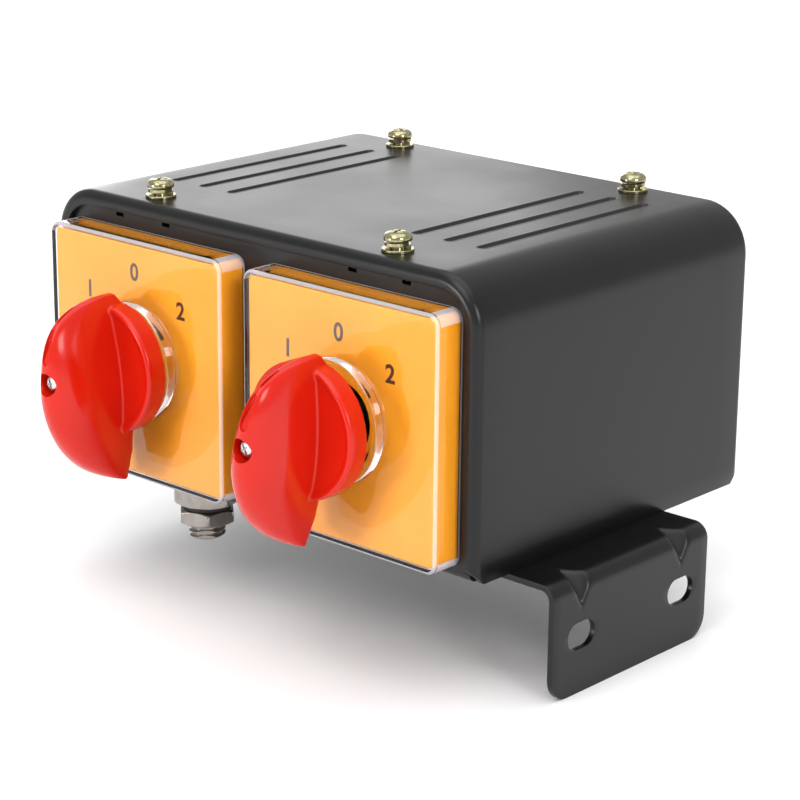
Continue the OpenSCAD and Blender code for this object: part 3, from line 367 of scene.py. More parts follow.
def pan_head_screw(r, h, shank, length, recess=0.58):
    """One screw with its seat at z = 0 and a button head, as a mesh piece."""
    profile = [(0, -length), (shank * 0.8, -length), (shank, -length + shank * 0.25), (shank, 0)]
    rim = 0.16
    profile += arc(r - rim * h, rim * h, rim * h, -90, -18, 5)
    for a in range(0, 86, 8):
        out, up = math.cos(math.radians(a)) ** 0.62, math.sin(math.radians(a)) ** 0.8
        profile.append((r * out, h * (rim + (1 - rim) * up)))
    profile.append((0, h))
    screw = new_piece("screw", *lathe(profile), yellow_zinc)
    cut_away(screw, [cross_cutter(r * recess, r * 0.25, h * 0.5, h)])
    return screw


def copies(name, original, matrices, material):
    """One piece made of a copy of the original at each matrix."""
    work = bmesh.new()
    for matrix in matrices:
        part = original.data.copy()
        part.transform(matrix)
        work.from_mesh(part)
        bpy.data.meshes.remove(part)
    mesh = bpy.data.meshes.new(name)
    work.to_mesh(mesh)
    work.free()
    piece = bpy.data.objects.new(name, mesh)
    bpy.context.scene.collection.objects.link(piece)
    mesh.materials.append(material)
    bpy.data.objects.remove(original)
    return smooth(piece, 35)


def split_washer():
    """One turn of square wire with its ends apart, on z = 0."""
    steps, half_gap = 60, math.radians(7)
    section = [(hole_r, 0.08), (hole_r + 0.1 * mm, 0), (split_r - 0.15 * mm, 0), (split_r, 0.12),
               (split_r, 0.88), (split_r - 0.15 * mm, 1), (hole_r + 0.1 * mm, 1), (hole_r, 0.92)]
    verts = []
    for i in range(steps + 1):
        turn = half_gap + (2 * math.pi - 2 * half_gap) * i / steps
        rise = (split_h - split_t) * i / steps
        verts += [(r * math.cos(turn), r * math.sin(turn), rise + t * split_t) for r, t in section]
    n = len(section)
    faces = ring_faces(steps + 1, n) + [tuple(range(n)), tuple(range(steps * n, steps * n + n))]
    return new_piece("split", verts, faces, yellow_zinc)


def flat_washer():
    """A ring with its outer edges eased, on z = 0."""
    edge = 0.12 * mm
    profile = [(hole_r, 0), (washer_r - edge, 0), (washer_r, edge), (washer_r, washer_t - edge),
               (washer_r - edge, washer_t), (hole_r, washer_t), (hole_r, 0)]
    return new_piece("flat", *lathe(profile, 64), yellow_zinc)


top_turns = [math.radians(a) for a in (28, 63, 12, 50)]
top_frames = [Matrix.Translation(box_point(x, y, box_h)) @ Matrix.Rotation(a, 4, "Z")
              for (x, y), a in zip(top_screw_spots, top_turns)]
lift = Matrix.Translation((0, 0, washer_t + split_h))
cover_screws = copies("cover_screw_set", pan_head_screw(head_r, head_h, shank_r, top_screw_l),
                      [m @ lift for m in top_frames], yellow_zinc)
split_washers = copies("split_washer_set", split_washer(),
                       [m @ Matrix.Translation((0, 0, washer_t)) for m in top_frames], yellow_zinc)
flat_washers = copies("flat_washer_set", flat_washer(), top_frames, yellow_zinc)
for piece, node in ((cover_screws, "cover_screws"), (split_washers, "split_washers"),
                    (flat_washers, "flat_washers")):
    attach(piece, "base")
    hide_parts(node)
dress("cover_nuts", yellow_zinc)


# ---- Bracket ----
# Bent from the same sheet, with two slots in its leg and two stiffeners pressed into
# the corner of the bend. Screwed under the floor with four more of the same screws.
leg_face_x = 88 * mm
plate_start_x, leg_h, bend_r = 48 * mm, 30 * mm, 4 * mm
bracket_mid_y, bracket_half_w, leg_corner_r = 44 * mm, 31 * mm, 6 * mm
slot_pitch, slot_l, slot_w, slot_z = 40 * mm, 10.5 * mm, 7 * mm, -15 * mm
dent_reach, dent_half_w, dent_round = 7.4 * mm, 4.4 * mm, 0.5 * mm
bracket_screw_x, bracket_screw_dx, bracket_screw_dy, bracket_screw_l = 66 * mm, 11 * mm, 22 * mm, 6.2 * mm


def dent_push(x, z, across):
    """How far the stiffener pushes the sheet along the corner's diagonal."""
    own = ((leg_face_x - x) - z) / math.sqrt(2)
    pushed = dent_reach / math.sqrt(2) * (1 - abs(across) / dent_half_w)
    gap = pushed - own
    if gap < -4 * dent_round:
        return 0
    return dent_round * math.log1p(math.exp(gap / dent_round))


def bracket_sheet():
    """The bent sheet, both faces and its rim, in rows that lie close together at the stiffeners."""
    corner = (leg_face_x - bend_r, -bend_r)
    path = [(x, 0, 0, 1) for x in np.linspace(plate_start_x, 76 * mm, 6)]
    path += [(x, 0, 0, 1) for x in np.arange(76.3, 84, 0.3) * mm]
    path += [(corner[0] + bend_r * c, corner[1] + bend_r * s, c, s) for c, s in arc(0, 0, 1, 90, 0, 14)]
    path += [(leg_face_x, z, 1, 0) for z in -np.arange(4.3, 13, 0.3) * mm]
    path += [(leg_face_x, z, 1, 0) for z in -np.linspace(13.2, 24, 5) * mm]
    foot = leg_corner_r - leg_h
    path += [(leg_face_x, foot - leg_corner_r * math.sin(math.radians(a)), 1, 0) for a in range(8, 91, 6)]
    dents = (-slot_pitch / 2, slot_pitch / 2)
    columns = places(-bracket_half_w, bracket_half_w, 3 * mm, dents, 4.6 * mm, 0.3 * mm)
    outer, inner = [], []
    for x, z, nx, nz in path:
        half = bracket_half_w
        if z < foot:
            half += math.sqrt(max(0, leg_corner_r ** 2 - (foot - z) ** 2)) - leg_corner_r
        for y in columns:
            across = y * half / bracket_half_w
            push = max((dent_push(x, z, across - d) for d in dents)) / math.sqrt(2)
            outer.append(box_point(x - push, bracket_mid_y + across, z - push))
            inner.append(box_point(x - push - nx * sheet_t, bracket_mid_y + across, z - push - nz * sheet_t))
    n, rows = len(columns), len(path)
    shift = rows * n
    faces = []
    for i in range(rows - 1):
        for j in range(n - 1):
            a, b, c, d = i * n + j, i * n + j + 1, (i + 1) * n + j + 1, (i + 1) * n + j
            faces += [(a, b, c, d), (shift + d, shift + c, shift + b, shift + a)]
        for j in (0, n - 1):
            a, b = i * n + j, (i + 1) * n + j
            faces.append((a, b, shift + b, shift + a))
    for i in (0, rows - 1):
        for j in range(n - 1):
            a = i * n + j
            faces.append((a, a + 1, shift + a + 1, shift + a))
    return outer + inner, faces


def slot_cutter(y):
    """Cuts one slot through the leg."""
    half = (slot_l - slot_w) / 2
    outline = [(half + px, pz) for px, pz in arc(0, 0, slot_w / 2, -90, 90, 20)]
    outline += [(-px, -pz) for px, pz in outline]
    verts = [box_point(leg_face_x + dx, y + px, slot_z + pz)
             for dx in (-4 * mm, 3 * mm) for px, pz in outline]
    return cutter_between(verts, powder_coat)


bracket = new_piece("bent_bracket", *bracket_sheet(), powder_coat)
cut_away(bracket, [slot_cutter(bracket_mid_y + s * slot_pitch / 2) for s in (-1, 1)])
soften(bracket, 0.3 * mm, segments=3, angle=55)
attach(bracket, "base")
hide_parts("bracket")

head_down = Matrix.Rotation(math.pi, 4, "X")
bracket_screw_frames = [
    Matrix.Translation(box_point(bracket_screw_x - i * bracket_screw_dx,
                                 bracket_mid_y + s * bracket_screw_dy, -sheet_t))
    @ Matrix.Rotation(0.4 + i + s, 4, "Z") @ head_down for i in (0, 1) for s in (-1, 1)]
bracket_screws = copies("bracket_screw_set", pan_head_screw(head_r, head_h, shank_r, bracket_screw_l),
                        bracket_screw_frames, yellow_zinc)
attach(bracket_screws, "base")
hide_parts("bracket_screws")
dress("bracket_nuts", yellow_zinc)


# ---- Cable gland ----
# Turned from hexagon bar and nickel plated: a hexagon against the floor, a seal ring,
# and a nut on the thread, which stands free for three turns and has a milled flat.
gland_x, gland_y = -30 * mm, 12 * mm
gland_hex, gland_hex_h, gland_nut_hex, gland_nut_h = 16 * mm, 6.5 * mm, 14 * mm, 4 * mm
gland_seal_t, gland_thread_r, gland_bore_r, gland_inner_end = 1.4 * mm, 5 * mm, 3 * mm, 7.5 * mm
gland_pitch, gland_turns, thread_depth = 1.4 * mm, 3, 0.9 * mm
gland_flat_share, gland_flat_turn, gland_nut_turn = 0.86, 312, 18
gland_ring = 144
gland_place = box_point(gland_x, gland_y, 0)
seal_low = -gland_hex_h - gland_seal_t
nut_low = seal_low - gland_nut_h
thread_end = nut_low - gland_turns * gland_pitch
nickel = finish("dull_nickel", [(0.27, 0.25, 0.23), (0.36, 0.335, 0.31)], (0.15, 0.22), grain=0.25 * mm,
                patch=4 * mm, bump=0.08, bump_depth=0.02 * mm, Metallic=1.0)


def hex_radius(turn, across_flats, corner_cut):
    """Radius of a hexagon with slightly cut corners at an angle."""
    from_flat = (turn + math.pi / 6) % (math.pi / 3) - math.pi / 6
    return min(across_flats / 2 / math.cos(math.pi / 6 - abs(from_flat)),
               across_flats / math.sqrt(3) - corner_cut)


def hex_rings(across_flats, low, high, high_chamfer, corner_cut):
    """Rings of (radii, height) for a hexagon with a conical lower end, and upper end if wanted."""
    corner = across_flats / math.sqrt(3)
    start = across_flats / 2 - 0.15 * mm
    reach = corner - across_flats / 2 + 0.15 * mm
    limits = [(low + reach * 0.5 * share, start + reach * share) for share in np.linspace(0, 1, 6)]
    if high_chamfer:
        limits += [(high - reach * 0.5 * share, start + reach * share) for share in np.linspace(1, 0, 6)]
    else:
        limits.append((high, corner))
    turns = [2 * math.pi * j / gland_ring for j in range(gland_ring)]
    return [([min(hex_radius(turn, across_flats, corner_cut), limit) for turn in turns], z)
            for z, limit in limits]


def ring_solid(name, rings, turn, material):
    """A closed ring-shaped solid from rings of radii, outside first and then back through the bore."""
    verts = []
    for radii, z in rings:
        for j, r in enumerate(radii):
            angle = 2 * math.pi * j / gland_ring + turn
            verts.append(gland_place + Vector((r * math.cos(angle), r * math.sin(angle), z)))
    return new_piece(name, verts, ring_faces(len(rings), gland_ring, closed=True), material)


def thread_ring(z):
    """One ring of the thread, with its flat, at a height."""
    flat = math.radians(gland_flat_turn)
    radii = []
    for j in range(gland_ring):
        turn = 2 * math.pi * j / gland_ring
        wave = 0.5 + 0.5 * math.cos(2 * math.pi * (z / gland_pitch - turn / 2 / math.pi))
        r = gland_thread_r - thread_depth * (1 - wave ** 0.8)
        facing = math.cos(turn - flat)
        if facing > 0.2:
            r = min(r, gland_thread_r * gland_flat_share / facing)
        radii.append(r)
    return radii, z


def plain_ring(r, z):
    """One round ring at a height."""
    return [r] * gland_ring, z


body_rings = [plain_ring(gland_thread_r, gland_inner_end), plain_ring(gland_thread_r, 0)]
body_rings += hex_rings(gland_hex, -gland_hex_h, 0, False, 0.45 * mm)[::-1]
body_rings += [plain_ring(gland_thread_r, -gland_hex_h), plain_ring(gland_thread_r, nut_low + 0.3 * mm)]
body_rings += [thread_ring(z) for z in np.linspace(nut_low + 0.15 * mm, thread_end + 0.45 * mm, 64)]
end_r = gland_thread_r - 0.5 * mm - thread_depth * 0.2
body_rings.append(([min(r, end_r) for r in thread_ring(thread_end)[0]], thread_end))
body_rings += [plain_ring(gland_bore_r + 0.3 * mm, thread_end),
               plain_ring(gland_bore_r, thread_end + 0.3 * mm), plain_ring(gland_bore_r, gland_inner_end)]
gland_body = ring_solid("turned_gland_body", body_rings, 0, nickel)
soften(gland_body, 0.12 * mm, angle=50, smooth_angle=38)
nut_rings = hex_rings(gland_nut_hex, nut_low, seal_low, True, 0.12 * mm)
nut_rings += [plain_ring(gland_thread_r + 0.04 * mm, z) for z in (seal_low, nut_low)]
gland_nut = ring_solid("hexagon_gland_nut", nut_rings, math.radians(gland_nut_turn), nickel)
soften(gland_nut, 0.1 * mm, angle=50, smooth_angle=38)
seal_r, seal_edge = gland_nut_hex / 2 - 0.35 * mm, 0.3 * mm
seal_profile = arc(seal_r - seal_edge, seal_low + seal_edge, seal_edge, -90, 0, 5)
seal_profile += arc(seal_r - seal_edge, -gland_hex_h - seal_edge, seal_edge, 0, 90, 5)
seal_profile += [(gland_thread_r + 0.05 * mm, z) for z in (-gland_hex_h, seal_low)]
rubber = finish("black_rubber", [(0.012, 0.012, 0.012), (0.02, 0.02, 0.02)], (0.55, 0.7), grain=0.2 * mm,
                patch=3 * mm, bump=0.2, bump_depth=0.03 * mm)
gland_seal = smooth(ring_solid("gland_seal_ring", [plain_ring(r, z) for r, z in seal_profile], 0, rubber))
for piece, node, finish_slot in ((gland_body, "gland_body", "nickel"), (gland_nut, "gland_nut", "nickel"),
                                 (gland_seal, "gland_seal", "black_rubber")):
    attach(piece, "base")
    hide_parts(node)
dress("gland_dome_nut", nickel)
dress("gland_sleeve", rubber)


# ---- Face plates ----
# Shallow trays moulded in amber plastic, with a round hole for the shaft and curved
# slots about it.
switches = ((-1, "left"), (1, "right"))
switch_pitch, switch_z = 72 * mm, 35 * mm
panel_y, plate_y, clear_y = 1.5 * mm, -6.0 * mm, -7.3 * mm
plate_size, plate_corner_r, plate_edge_r = 61.4 * mm, 1.8 * mm, 0.8 * mm
plate_wall, plate_hole_r = 1.5 * mm, 9.5 * mm
arc_slot_r, arc_slot_w, arc_slot_angle, arc_slot_middle = 10.6 * mm, 2 * mm, 34, 54
corner_steps, edge_steps = 8, 14
amber = finish("amber_plastic", [(0.90, 0.345, 0.014), (0.93, 0.37, 0.018)], (0.28, 0.34), grain=1.2 * mm,
               patch=25 * mm, bump=0.008, bump_depth=0.02 * mm, Specular_IOR_Level=0.2)


def square_ring(size, r):
    """Points of a rounded square about the axis, in the same order for every size."""
    half = size / 2 - r
    quarter = [(half + r, -half + 2 * half * i / edge_steps) for i in range(edge_steps)]
    quarter += arc(half, half, r, 0, 90, corner_steps)[:-1]
    return [(c * x - s * z, s * x + c * z) for c, s in quarter_turns for x, z in quarter]


reference = square_ring(plate_size, plate_corner_r)
ring_n = len(reference)


def round_ring(r):
    """Points of a circle that line up with the square's."""
    return [(r * x / math.hypot(x, z), r * z / math.hypot(x, z)) for x, z in reference]


def rounded_edge(size, r, edge_r, front_y, angles):
    """Rings over the rounded edge between the side walls and the front."""
    rings = []
    for a in angles:
        inset = edge_r * (1 - math.cos(math.radians(a)))
        depth = front_y + edge_r * (1 - math.sin(math.radians(a)))
        rings.append((square_ring(size - 2 * inset, r - inset), depth))
    return rings


def shell(name, rings, side, material):
    """A closed shell of one switch from rings of (points, depth) that end where they began."""
    middle = side * switch_pitch / 2
    verts = [box_point(middle + x, y, switch_z + z) for points, y in rings for x, z in points]
    return new_piece(name, verts, ring_faces(len(rings), ring_n, closed=True), material)


def arc_slot_cutter(side, middle_angle):
    """Cuts one curved slot through a face plate."""
    start, end = middle_angle - arc_slot_angle / 2, middle_angle + arc_slot_angle / 2
    outline = arc(0, 0, arc_slot_r, start, end, 16) + arc(0, 0, arc_slot_r + arc_slot_w, end, start, 16)
    verts = [box_point(side * switch_pitch / 2 + x, y, switch_z + z)
             for y in (plate_y - 2 * mm, plate_y + 3 * mm) for x, z in outline]
    return cutter_between(verts, amber)


def face_plate(side, name):
    """The tray from its foot over the edge to the hole, and back along the inside."""
    rings = [(square_ring(plate_size, plate_corner_r), y) for y in (panel_y, plate_y + plate_edge_r)]
    rings += rounded_edge(plate_size, plate_corner_r, plate_edge_r, plate_y, (20, 40, 60, 80, 90))
    rings += [(round_ring(plate_hole_r + 0.3 * mm), plate_y), (round_ring(plate_hole_r), plate_y + 0.3 * mm),
              (round_ring(plate_hole_r), plate_y + plate_wall)]
    inner = square_ring(plate_size - 2 * plate_wall, 0.5 * mm)
    rings += [(inner, plate_y + plate_wall), (inner, panel_y)]
    return shell(name + "_amber_plate", rings, side, amber)


for side, name in switches:
    plate = face_plate(side, name)
    cut_away(plate, [arc_slot_cutter(side, arc_slot_middle + 90 * k) for k in range(4)])
    smooth(plate, 32)
    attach(plate, "base")
    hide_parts(name + "_face_plate")


# ---- Position marks ----
# Plain numerals 1 0 2, printed in dark brown ink on each plate at the three places
# that the knob points to.
mark_h = 4.6 * mm
mark_places = {"left": ((-17.4, 15.9), (-0.2, 23.2), (16.8, 16.0)),
               "right": ((-17.0, 14.3), (-0.2, 21.5), (16.5, 14.5))}
ink = finish("brown_ink", [(0.035, 0.012, 0.008), (0.055, 0.02, 0.012)], (0.4, 0.5), grain=0.1 * mm,
             patch=2 * mm, bump=0.05, bump_depth=0.005 * mm)
for side, name in switches:
    for numeral, (x, z) in zip("102", mark_places[name]):
        letter = bpy.data.curves.new(f"{name}_mark_{numeral}", "FONT")
        letter.body, letter.size = numeral, mark_h * 1.38
        letter.align_x, letter.align_y = "CENTER", "CENTER"
        letter.extrude, letter.offset = 0.01 * mm, 0.16 * mm
        letter.materials.append(ink)
        text = bpy.data.objects.new(f"{name}_mark_{numeral}", letter)
        middle = box_point(side * switch_pitch / 2 + x * mm, plate_y - 0.02 * mm, switch_z + z * mm)
        text.matrix_world = Matrix.Translation(middle) @ Matrix.Rotation(math.pi / 2, 4, "X")
        bpy.context.scene.collection.objects.link(text)
        bpy.context.view_layer.update()
        mesh = bpy.data.meshes.new_from_object(text.evaluated_get(bpy.context.evaluated_depsgraph_get()))
        mesh.transform(text.matrix_world)
        bpy.data.objects.remove(text)
        mark = bpy.data.objects.new(f"{name}_mark_{numeral}", mesh)
        bpy.context.scene.collection.objects.link(mark)
        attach(mark, "base")


# ---- Clear covers ----
# Square caps of clear plastic that snap over the plates. A round collar in the middle
# guards the knob's hub. Edges and corners are softly rounded.
clear_size, clear_corner_r, clear_edge_r, clear_wall = 64 * mm, 3 * mm, 1 * mm, 1.2 * mm
collar_r, collar_wall, collar_h, collar_rim = 15.5 * mm, 1.7 * mm, 2.7 * mm, 0.45 * mm


def clear_plastic(name, painted_glow, roughness):
    """Clear plastic that lets lamp light through to what lies behind it; the second argument mixes in white
    diffuse, painted light that stands in for light carried through the plastic to its edges.
    """
    material = finish(name, [(0.965, 0.955, 0.985), (0.98, 0.975, 1.0)], roughness, grain=2 * mm,
                      patch=15 * mm, bump=0.006, bump_depth=0.02 * mm, IOR=1.36, Transmission_Weight=1.0)
    nodes, links = material.node_tree.nodes, material.node_tree.links
    path, through, mix, glow_white, glow_mix = (nodes.new("ShaderNode" + k) for k in (
        "LightPath", "BsdfTransparent", "MixShader", "BsdfDiffuse", "MixShader"))
    through.inputs["Color"].default_value = (0.93, 0.92, 0.94, 1)
    glow_white.inputs["Color"].default_value = (0.90, 0.86, 0.90, 1)
    glow_mix.inputs["Fac"].default_value = painted_glow
    links.new(nodes["Principled BSDF"].outputs["BSDF"], glow_mix.inputs[1])
    links.new(glow_white.outputs["BSDF"], glow_mix.inputs[2])
    links.new(path.outputs["Is Shadow Ray"], mix.inputs["Fac"])
    links.new(glow_mix.outputs["Shader"], mix.inputs[1])
    links.new(through.outputs["BSDF"], mix.inputs[2])
    links.new(mix.outputs["Shader"], nodes["Material Output"].inputs["Surface"])
    return material


clear = clear_plastic("clear_plastic", 0.0, (0.02, 0.05))
# The edge material's white diffuse share is painted light: it stands in for the glow of light carried through
# the clear plastic to its edges.
painted_edge_glow = clear_plastic("clear_plastic_painted_edge_glow", 0.4, (0.12, 0.2))


def clear_cover(side, name):
    """The cap from its foot over the front and the collar, and back along the inside."""
    size, r = clear_size, clear_corner_r
    rings = [(square_ring(size, r), y) for y in (panel_y, panel_y - 0.6 * mm, clear_y + clear_edge_r)]
    rings += rounded_edge(size, r, clear_edge_r, clear_y, (15, 30, 45, 60, 75, 90))
    rings.append((round_ring(collar_r + 0.5 * mm), clear_y))
    rings += [(round_ring(collar_r + d * mm), clear_y - h * mm) for d, h in ((0.15, 0.12), (0, 0.45))]
    for wall_r, way, angles in ((collar_r, -1, (0, 30, 60, 90)),
                                (collar_r - collar_wall, 1, (90, 60, 30, 0))):
        for a in angles:
            inset = collar_rim * (1 - math.cos(math.radians(a)))
            drop = collar_rim * (1 - math.sin(math.radians(a)))
            rings.append((round_ring(wall_r + way * inset), clear_y - collar_h + drop))
    rings.append((round_ring(collar_r - collar_wall), clear_y + clear_wall))
    inner = square_ring(size - 2 * clear_wall, r - clear_wall)
    small = square_ring(size - 2 * clear_wall - 0.6 * mm, r - clear_wall - 0.3 * mm)
    rings += [(small, clear_y + clear_wall), (inner, clear_y + clear_wall + 0.3 * mm), (inner, panel_y)]
    cap = shell(name + "_clear_cap", rings, side, clear)
    cap.data.materials.append(painted_edge_glow)
    # Painted light: the foot, the rounded front edge and the corners of the side wall take the glowing edge
    # material.
    foot, wall, front_edge = 0, 1, range(3, 7)
    for face in cap.data.polygons:
        strip, column = divmod(face.index, ring_n)
        at_corner = column % (edge_steps + corner_steps) >= edge_steps
        face.material_index = int(strip == foot or strip in front_edge or strip == wall and at_corner)
    return cap


for side, name in switches:
    cap = smooth(clear_cover(side, name), 32)
    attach(cap, "base")
    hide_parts(name + "_clear_cover")


# ---- Knobs ----
# Moulded in glossy red plastic: a thick disc with a hub behind it, and a blade shaped
# like a boat, with a groove along its spine and a recess for the screw.
disc_r, disc_t, disc_edge_r, hub_r, hub_l = 17 * mm, 5.5 * mm, 1.0 * mm, 8.5 * mm, 4.2 * mm
blade_nose, blade_tail, blade_h, blade_half_w = 19.5 * mm, 28.9 * mm, 25.3 * mm, 6.9 * mm
nose_half_w, tail_half_w, nose_undercut, tail_undercut = 1.2 * mm, 5.3 * mm, 2.4 * mm, 2.1 * mm
screw_recess_r, screw_recess_depth = 3 * mm, 3.6 * mm
spine_peak, blade_widest = -0.04 * blade_tail, -0.26 * blade_tail
knob_out, knob_turn = {"left": 4.7 * mm, "right": 7.3 * mm}, {"left": 0, "right": 10}
knob_screw_head_r, knob_screw_head_h, knob_screw_shank_r = 2.25 * mm, 1.8 * mm, 1.5 * mm
knob_screw_l, knob_screw_cross = 17 * mm, 0.62
red_plastic = finish("red_plastic", [(0.55, 0.0085, 0.0015), (0.59, 0.0105, 0.002)], (0.15, 0.2),
                     grain=0.8 * mm, patch=18 * mm, bump=0.03, bump_depth=0.02 * mm, Specular_IOR_Level=0.36)


def spine_height(y):
    """How far the blade stands off the disc's back: highest near the axis, steeper to the nose."""
    power, reach = 2, blade_tail + 0.5 * mm + spine_peak
    if y > spine_peak:
        power, reach = 3.2, blade_nose + 0.1 * mm - spine_peak
    return blade_h * max(0, 1 - (abs(y - spine_peak) / reach) ** power) ** (1 / power)


screw_seat_z = spine_height(0) - screw_recess_depth


def half_width(y):
    """Half the blade's width at a place along it."""
    end, reach = tail_half_w, blade_tail + blade_widest
    if y > blade_widest:
        end, reach = nose_half_w, blade_nose - blade_widest
    return end + (blade_half_w - end) * (1 - min(1, abs(y - blade_widest) / reach) ** 1.7)


def blade_mesh():
    """The blade in rows across it, undercut at both ends, narrower by the disc, with a rounded crown."""
    rows, sides = 60, 40
    ramp_start = disc_r - 0.5 * mm
    low, high = -blade_tail, blade_nose
    verts = []
    for i in range(rows + 1):
        y = (low + high) / 2 - (high - low) / 2 * math.cos(math.pi * i / rows)
        width = half_width(y)
        back = max(0.8 * mm, (y - ramp_start) / (blade_nose - ramp_start) * nose_undercut,
                   (-y - ramp_start) / (blade_tail - ramp_start) * tail_undercut)
        up = [math.sin(math.pi / 2 * j / sides) for j in range(sides + 1)]
        for u, s in [(u, 1) for u in up] + [(u, -1) for u in up[-2::-1]]:
            waist = 0.8 + 0.2 * math.sin(math.pi / 2 * min(1, u / 0.62))
            crown = math.sqrt(max(0, 1 - max(0, (u - 0.55) / 0.45) ** 2.2))
            verts.append((s * width * waist * crown, y, back + u * (spine_height(y) - back)))
    n = 2 * sides + 1
    faces = ring_faces(rows + 1, n) + [tuple(range(n)), tuple(range(rows * n, rows * n + n))]
    return verts, faces


def groove_cutter(start, end, start_half, end_half):
    """A shallow slot with round ends that follows the spine."""
    up = arc(0, end - end_half, end_half, 0, 180, 10)
    down = arc(0, start + start_half, start_half, 180, 360, 10)
    (x_end, y_end), (x_start, y_start) = up[-1], down[0]
    left = [(x_end + (x_start - x_end) * t, y_end + (y_start - y_end) * t)
            for t in np.linspace(0, 1, 10)[1:-1]]
    outline = up + left + down + [(-x, y) for x, y in left[::-1]]
    verts = [(x, y, spine_height(y) + rise) for rise in (-0.6 * mm, 1.5 * mm) for x, y in outline]
    return cutter_between(verts, red_plastic)


def knob(name):
    """The disc with its hub and the blade, grown into one skin, with its recess and grooves cut."""
    disc = [(0, -hub_l), (hub_r, -hub_l), (hub_r, 0), (disc_r, 0), (disc_r, disc_t - disc_edge_r)]
    disc += arc(disc_r - disc_edge_r, disc_t - disc_edge_r, disc_edge_r, 0, 90, 5)[1:]
    disc += [(disc_r - disc_edge_r - 0.5 * mm, disc_t), (disc_r - disc_edge_r - 1.2 * mm, disc_t - 0.45 * mm),
             (0, disc_t - 0.6 * mm)]
    piece = new_piece(name + "_red_knob", *lathe(disc, 96), red_plastic)
    blade = new_piece("blade", *blade_mesh(), red_plastic)
    work = bmesh.new()
    work.from_mesh(piece.data)
    work.from_mesh(blade.data)
    work.to_mesh(piece.data)
    work.free()
    bpy.data.objects.remove(blade)
    step = piece.modifiers.new("skin", "REMESH")
    step.mode, step.voxel_size = "VOXEL", 0.32 * mm
    step = piece.modifiers.new("ease", "SMOOTH")
    step.factor, step.iterations = 0.5, 3
    apply_modifiers(piece)
    clear_of_it = blade_h + 2 * mm
    recess = new_piece("cutter", *lathe([(0, screw_seat_z), (screw_recess_r, screw_seat_z),
                                         (screw_recess_r, clear_of_it), (0, clear_of_it)], 48), red_plastic)
    grooves = [groove_cutter(5 * mm, 13.8 * mm, 1.25 * mm, 0.75 * mm),
               groove_cutter(15.1 * mm, 18.2 * mm, 0.4 * mm, 0.4 * mm)]
    cut_away(piece, [recess] + grooves)
    return smooth(piece, 42)


def knob_frame(side, name):
    """Places a knob's own axes, z out of the front and y up, in front of its clear cover."""
    front = box_point(side * switch_pitch / 2, clear_y - knob_out[name], switch_z)
    return (Matrix.Translation(front) @ Matrix.Rotation(math.pi / 2, 4, "X")
            @ Matrix.Rotation(-math.radians(knob_turn[name]), 4, "Z"))


bright_steel = finish("bright_steel", [(0.55, 0.55, 0.55), (0.72, 0.72, 0.71)], (0.18, 0.3), grain=0.2 * mm,
                      patch=2 * mm, bump=0.15, bump_depth=0.02 * mm, Metallic=1.0)
for side, name in switches:
    piece = knob(name)
    piece.data.transform(knob_frame(side, name))
    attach(piece, name + "_rotor")
    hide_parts(name + "_knob")
    seat = Matrix.Translation((0, 0, screw_seat_z))
    loose_screw = pan_head_screw(knob_screw_head_r, knob_screw_head_h, knob_screw_shank_r, knob_screw_l,
                                 knob_screw_cross)
    screw = copies(name + "_knob_fixing", loose_screw,
                   [knob_frame(side, name) @ seat @ Matrix.Rotation(0.5 + side * 0.2, 4, "Z")], bright_steel)
    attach(screw, name + "_rotor")
    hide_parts(name + "_knob_screw")


# ---- Inside the switches ----
# Moulded housings and decks on a steel shaft, with sprung bridge contacts. None of it
# shows in the photograph, so the CAD shapes stay and only get their finishes.
shaft_steel = finish("shaft_steel", [(0.36, 0.36, 0.36), (0.48, 0.48, 0.47)], (0.3, 0.42), grain=0.2 * mm,
                     patch=3 * mm, bump=0.15, Metallic=1.0)
black_plastic = finish("black_plastic", [(0.02, 0.02, 0.02), (0.03, 0.03, 0.03)], (0.45, 0.6), patch=8 * mm)
white_plastic = finish("white_plastic", [(0.72, 0.70, 0.64), (0.8, 0.78, 0.72)], (0.4, 0.5), patch=6 * mm)
cream_plastic = finish("cream_plastic", [(0.62, 0.57, 0.46), (0.7, 0.65, 0.54)], (0.45, 0.55), patch=8 * mm)
brown_plastic = finish("brown_plastic", [(0.3, 0.07, 0.04), (0.38, 0.1, 0.06)], (0.4, 0.5), patch=6 * mm)
copper = finish("copper", [(0.68, 0.34, 0.2), (0.78, 0.42, 0.27)], (0.25, 0.4), patch=3 * mm, Metallic=1.0)
brass = finish("contact_brass", [(0.68, 0.48, 0.2), (0.76, 0.56, 0.28)], (0.25, 0.38), patch=3 * mm,
               Metallic=1.0)
inner_finishes = {
    "shaft": shaft_steel, "mount_screws": bright_steel, "detent_housing": black_plastic,
    "star_wheel": white_plastic, "detent_plungers": white_plastic, "detent_springs": shaft_steel,
    "decks": cream_plastic, "cams": brown_plastic, "followers": white_plastic, "bridges": copper,
    "contact_springs": shaft_steel, "terminals": brass, "terminal_screws": bright_steel,
    "end_plate": black_plastic, "tie_bolts": bright_steel}
for name in ("left", "right"):
    for node, material in inner_finishes.items():
        dress(f"{name}_{node}", material)


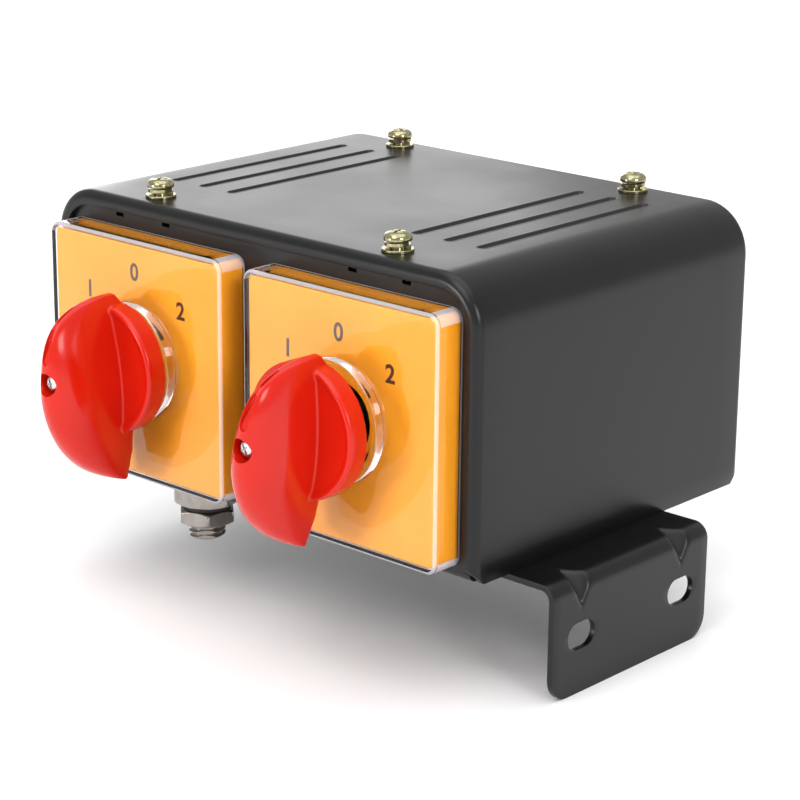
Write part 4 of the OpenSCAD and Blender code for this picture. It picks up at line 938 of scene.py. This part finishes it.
# ---- Studio ----
# A white floor at the bracket's foot under a pale sky that is brighter overhead. A wide
# softbox behind on the left lights the top of the box, a small one in front on the left
# throws the knobs' shadows on the plates, and a weak one on the right glosses the blades.
floor_z, floor_half = box_point(0, 0, -leg_h).z, 6
floor_finish = finish("white_floor", [(0.95, 0.95, 0.953), (0.955, 0.955, 0.958)], (0.6, 0.65),
                      grain=5 * mm, patch=0.4, bump=0.0)
floor = new_piece("floor", [(x * floor_half, y * floor_half, floor_z)
                            for x, y in ((-1, -1), (1, -1), (1, 1), (-1, 1))], [(0, 1, 2, 3)], floor_finish)
subject = box_point(0, 0, box_h / 2)


def softbox(name, direction, distance, width, height, radiance):
    """A lamp that looks at the box from a direction and shines with the same radiance all over."""
    lamp = bpy.data.objects.new(name, bpy.data.lights.new(name, "AREA"))
    lamp.data.shape, lamp.data.size, lamp.data.size_y = "RECTANGLE", width, height
    lamp.data.energy = radiance * math.pi * width * height
    away = Vector(direction).normalized()
    lamp.location = subject + away * distance
    lamp.rotation_euler = (-away).to_track_quat("-Z", "Y").to_euler()
    bpy.context.scene.collection.objects.link(lamp)


softbox("back_lamp", (-0.75, 0.595, 0.30), 1.8, 0.95, 0.9, 1.35)
softbox("back_left_lamp", (-0.80, 0.55, 0.20), 1.75, 0.3, 0.4, 3.0)
softbox("key_lamp", (-0.40, -0.91, 0.02), 1.2, 0.3, 0.3, 14)
softbox("front_lamp", (0.10, -0.67, 0.70), 1.3, 0.8, 0.8, 2.6)
softbox("right_lamp", (0.745, -0.215, 0.30), 1.2, 0.36, 0.36, 9.0)
world = bpy.data.worlds.new("studio")
world.use_nodes = True
nodes, links = world.node_tree.nodes, world.node_tree.links
place, split, rise = (nodes.new("ShaderNode" + k) for k in ("TexCoord", "SeparateXYZ", "MapRange"))
rise.interpolation_type = "SMOOTHSTEP"
for socket, value in (("From Min", 0.72), ("From Max", 0.94), ("To Min", 0.68), ("To Max", 2.2)):
    rise.inputs[socket].default_value = value
nodes["Background"].inputs["Color"].default_value = (1, 1, 1, 1)
links.new(place.outputs["Generated"], split.inputs[0])
links.new(split.outputs["Z"], rise.inputs["Value"])
links.new(rise.outputs["Result"], nodes["Background"].inputs["Strength"])
bpy.context.scene.world = world
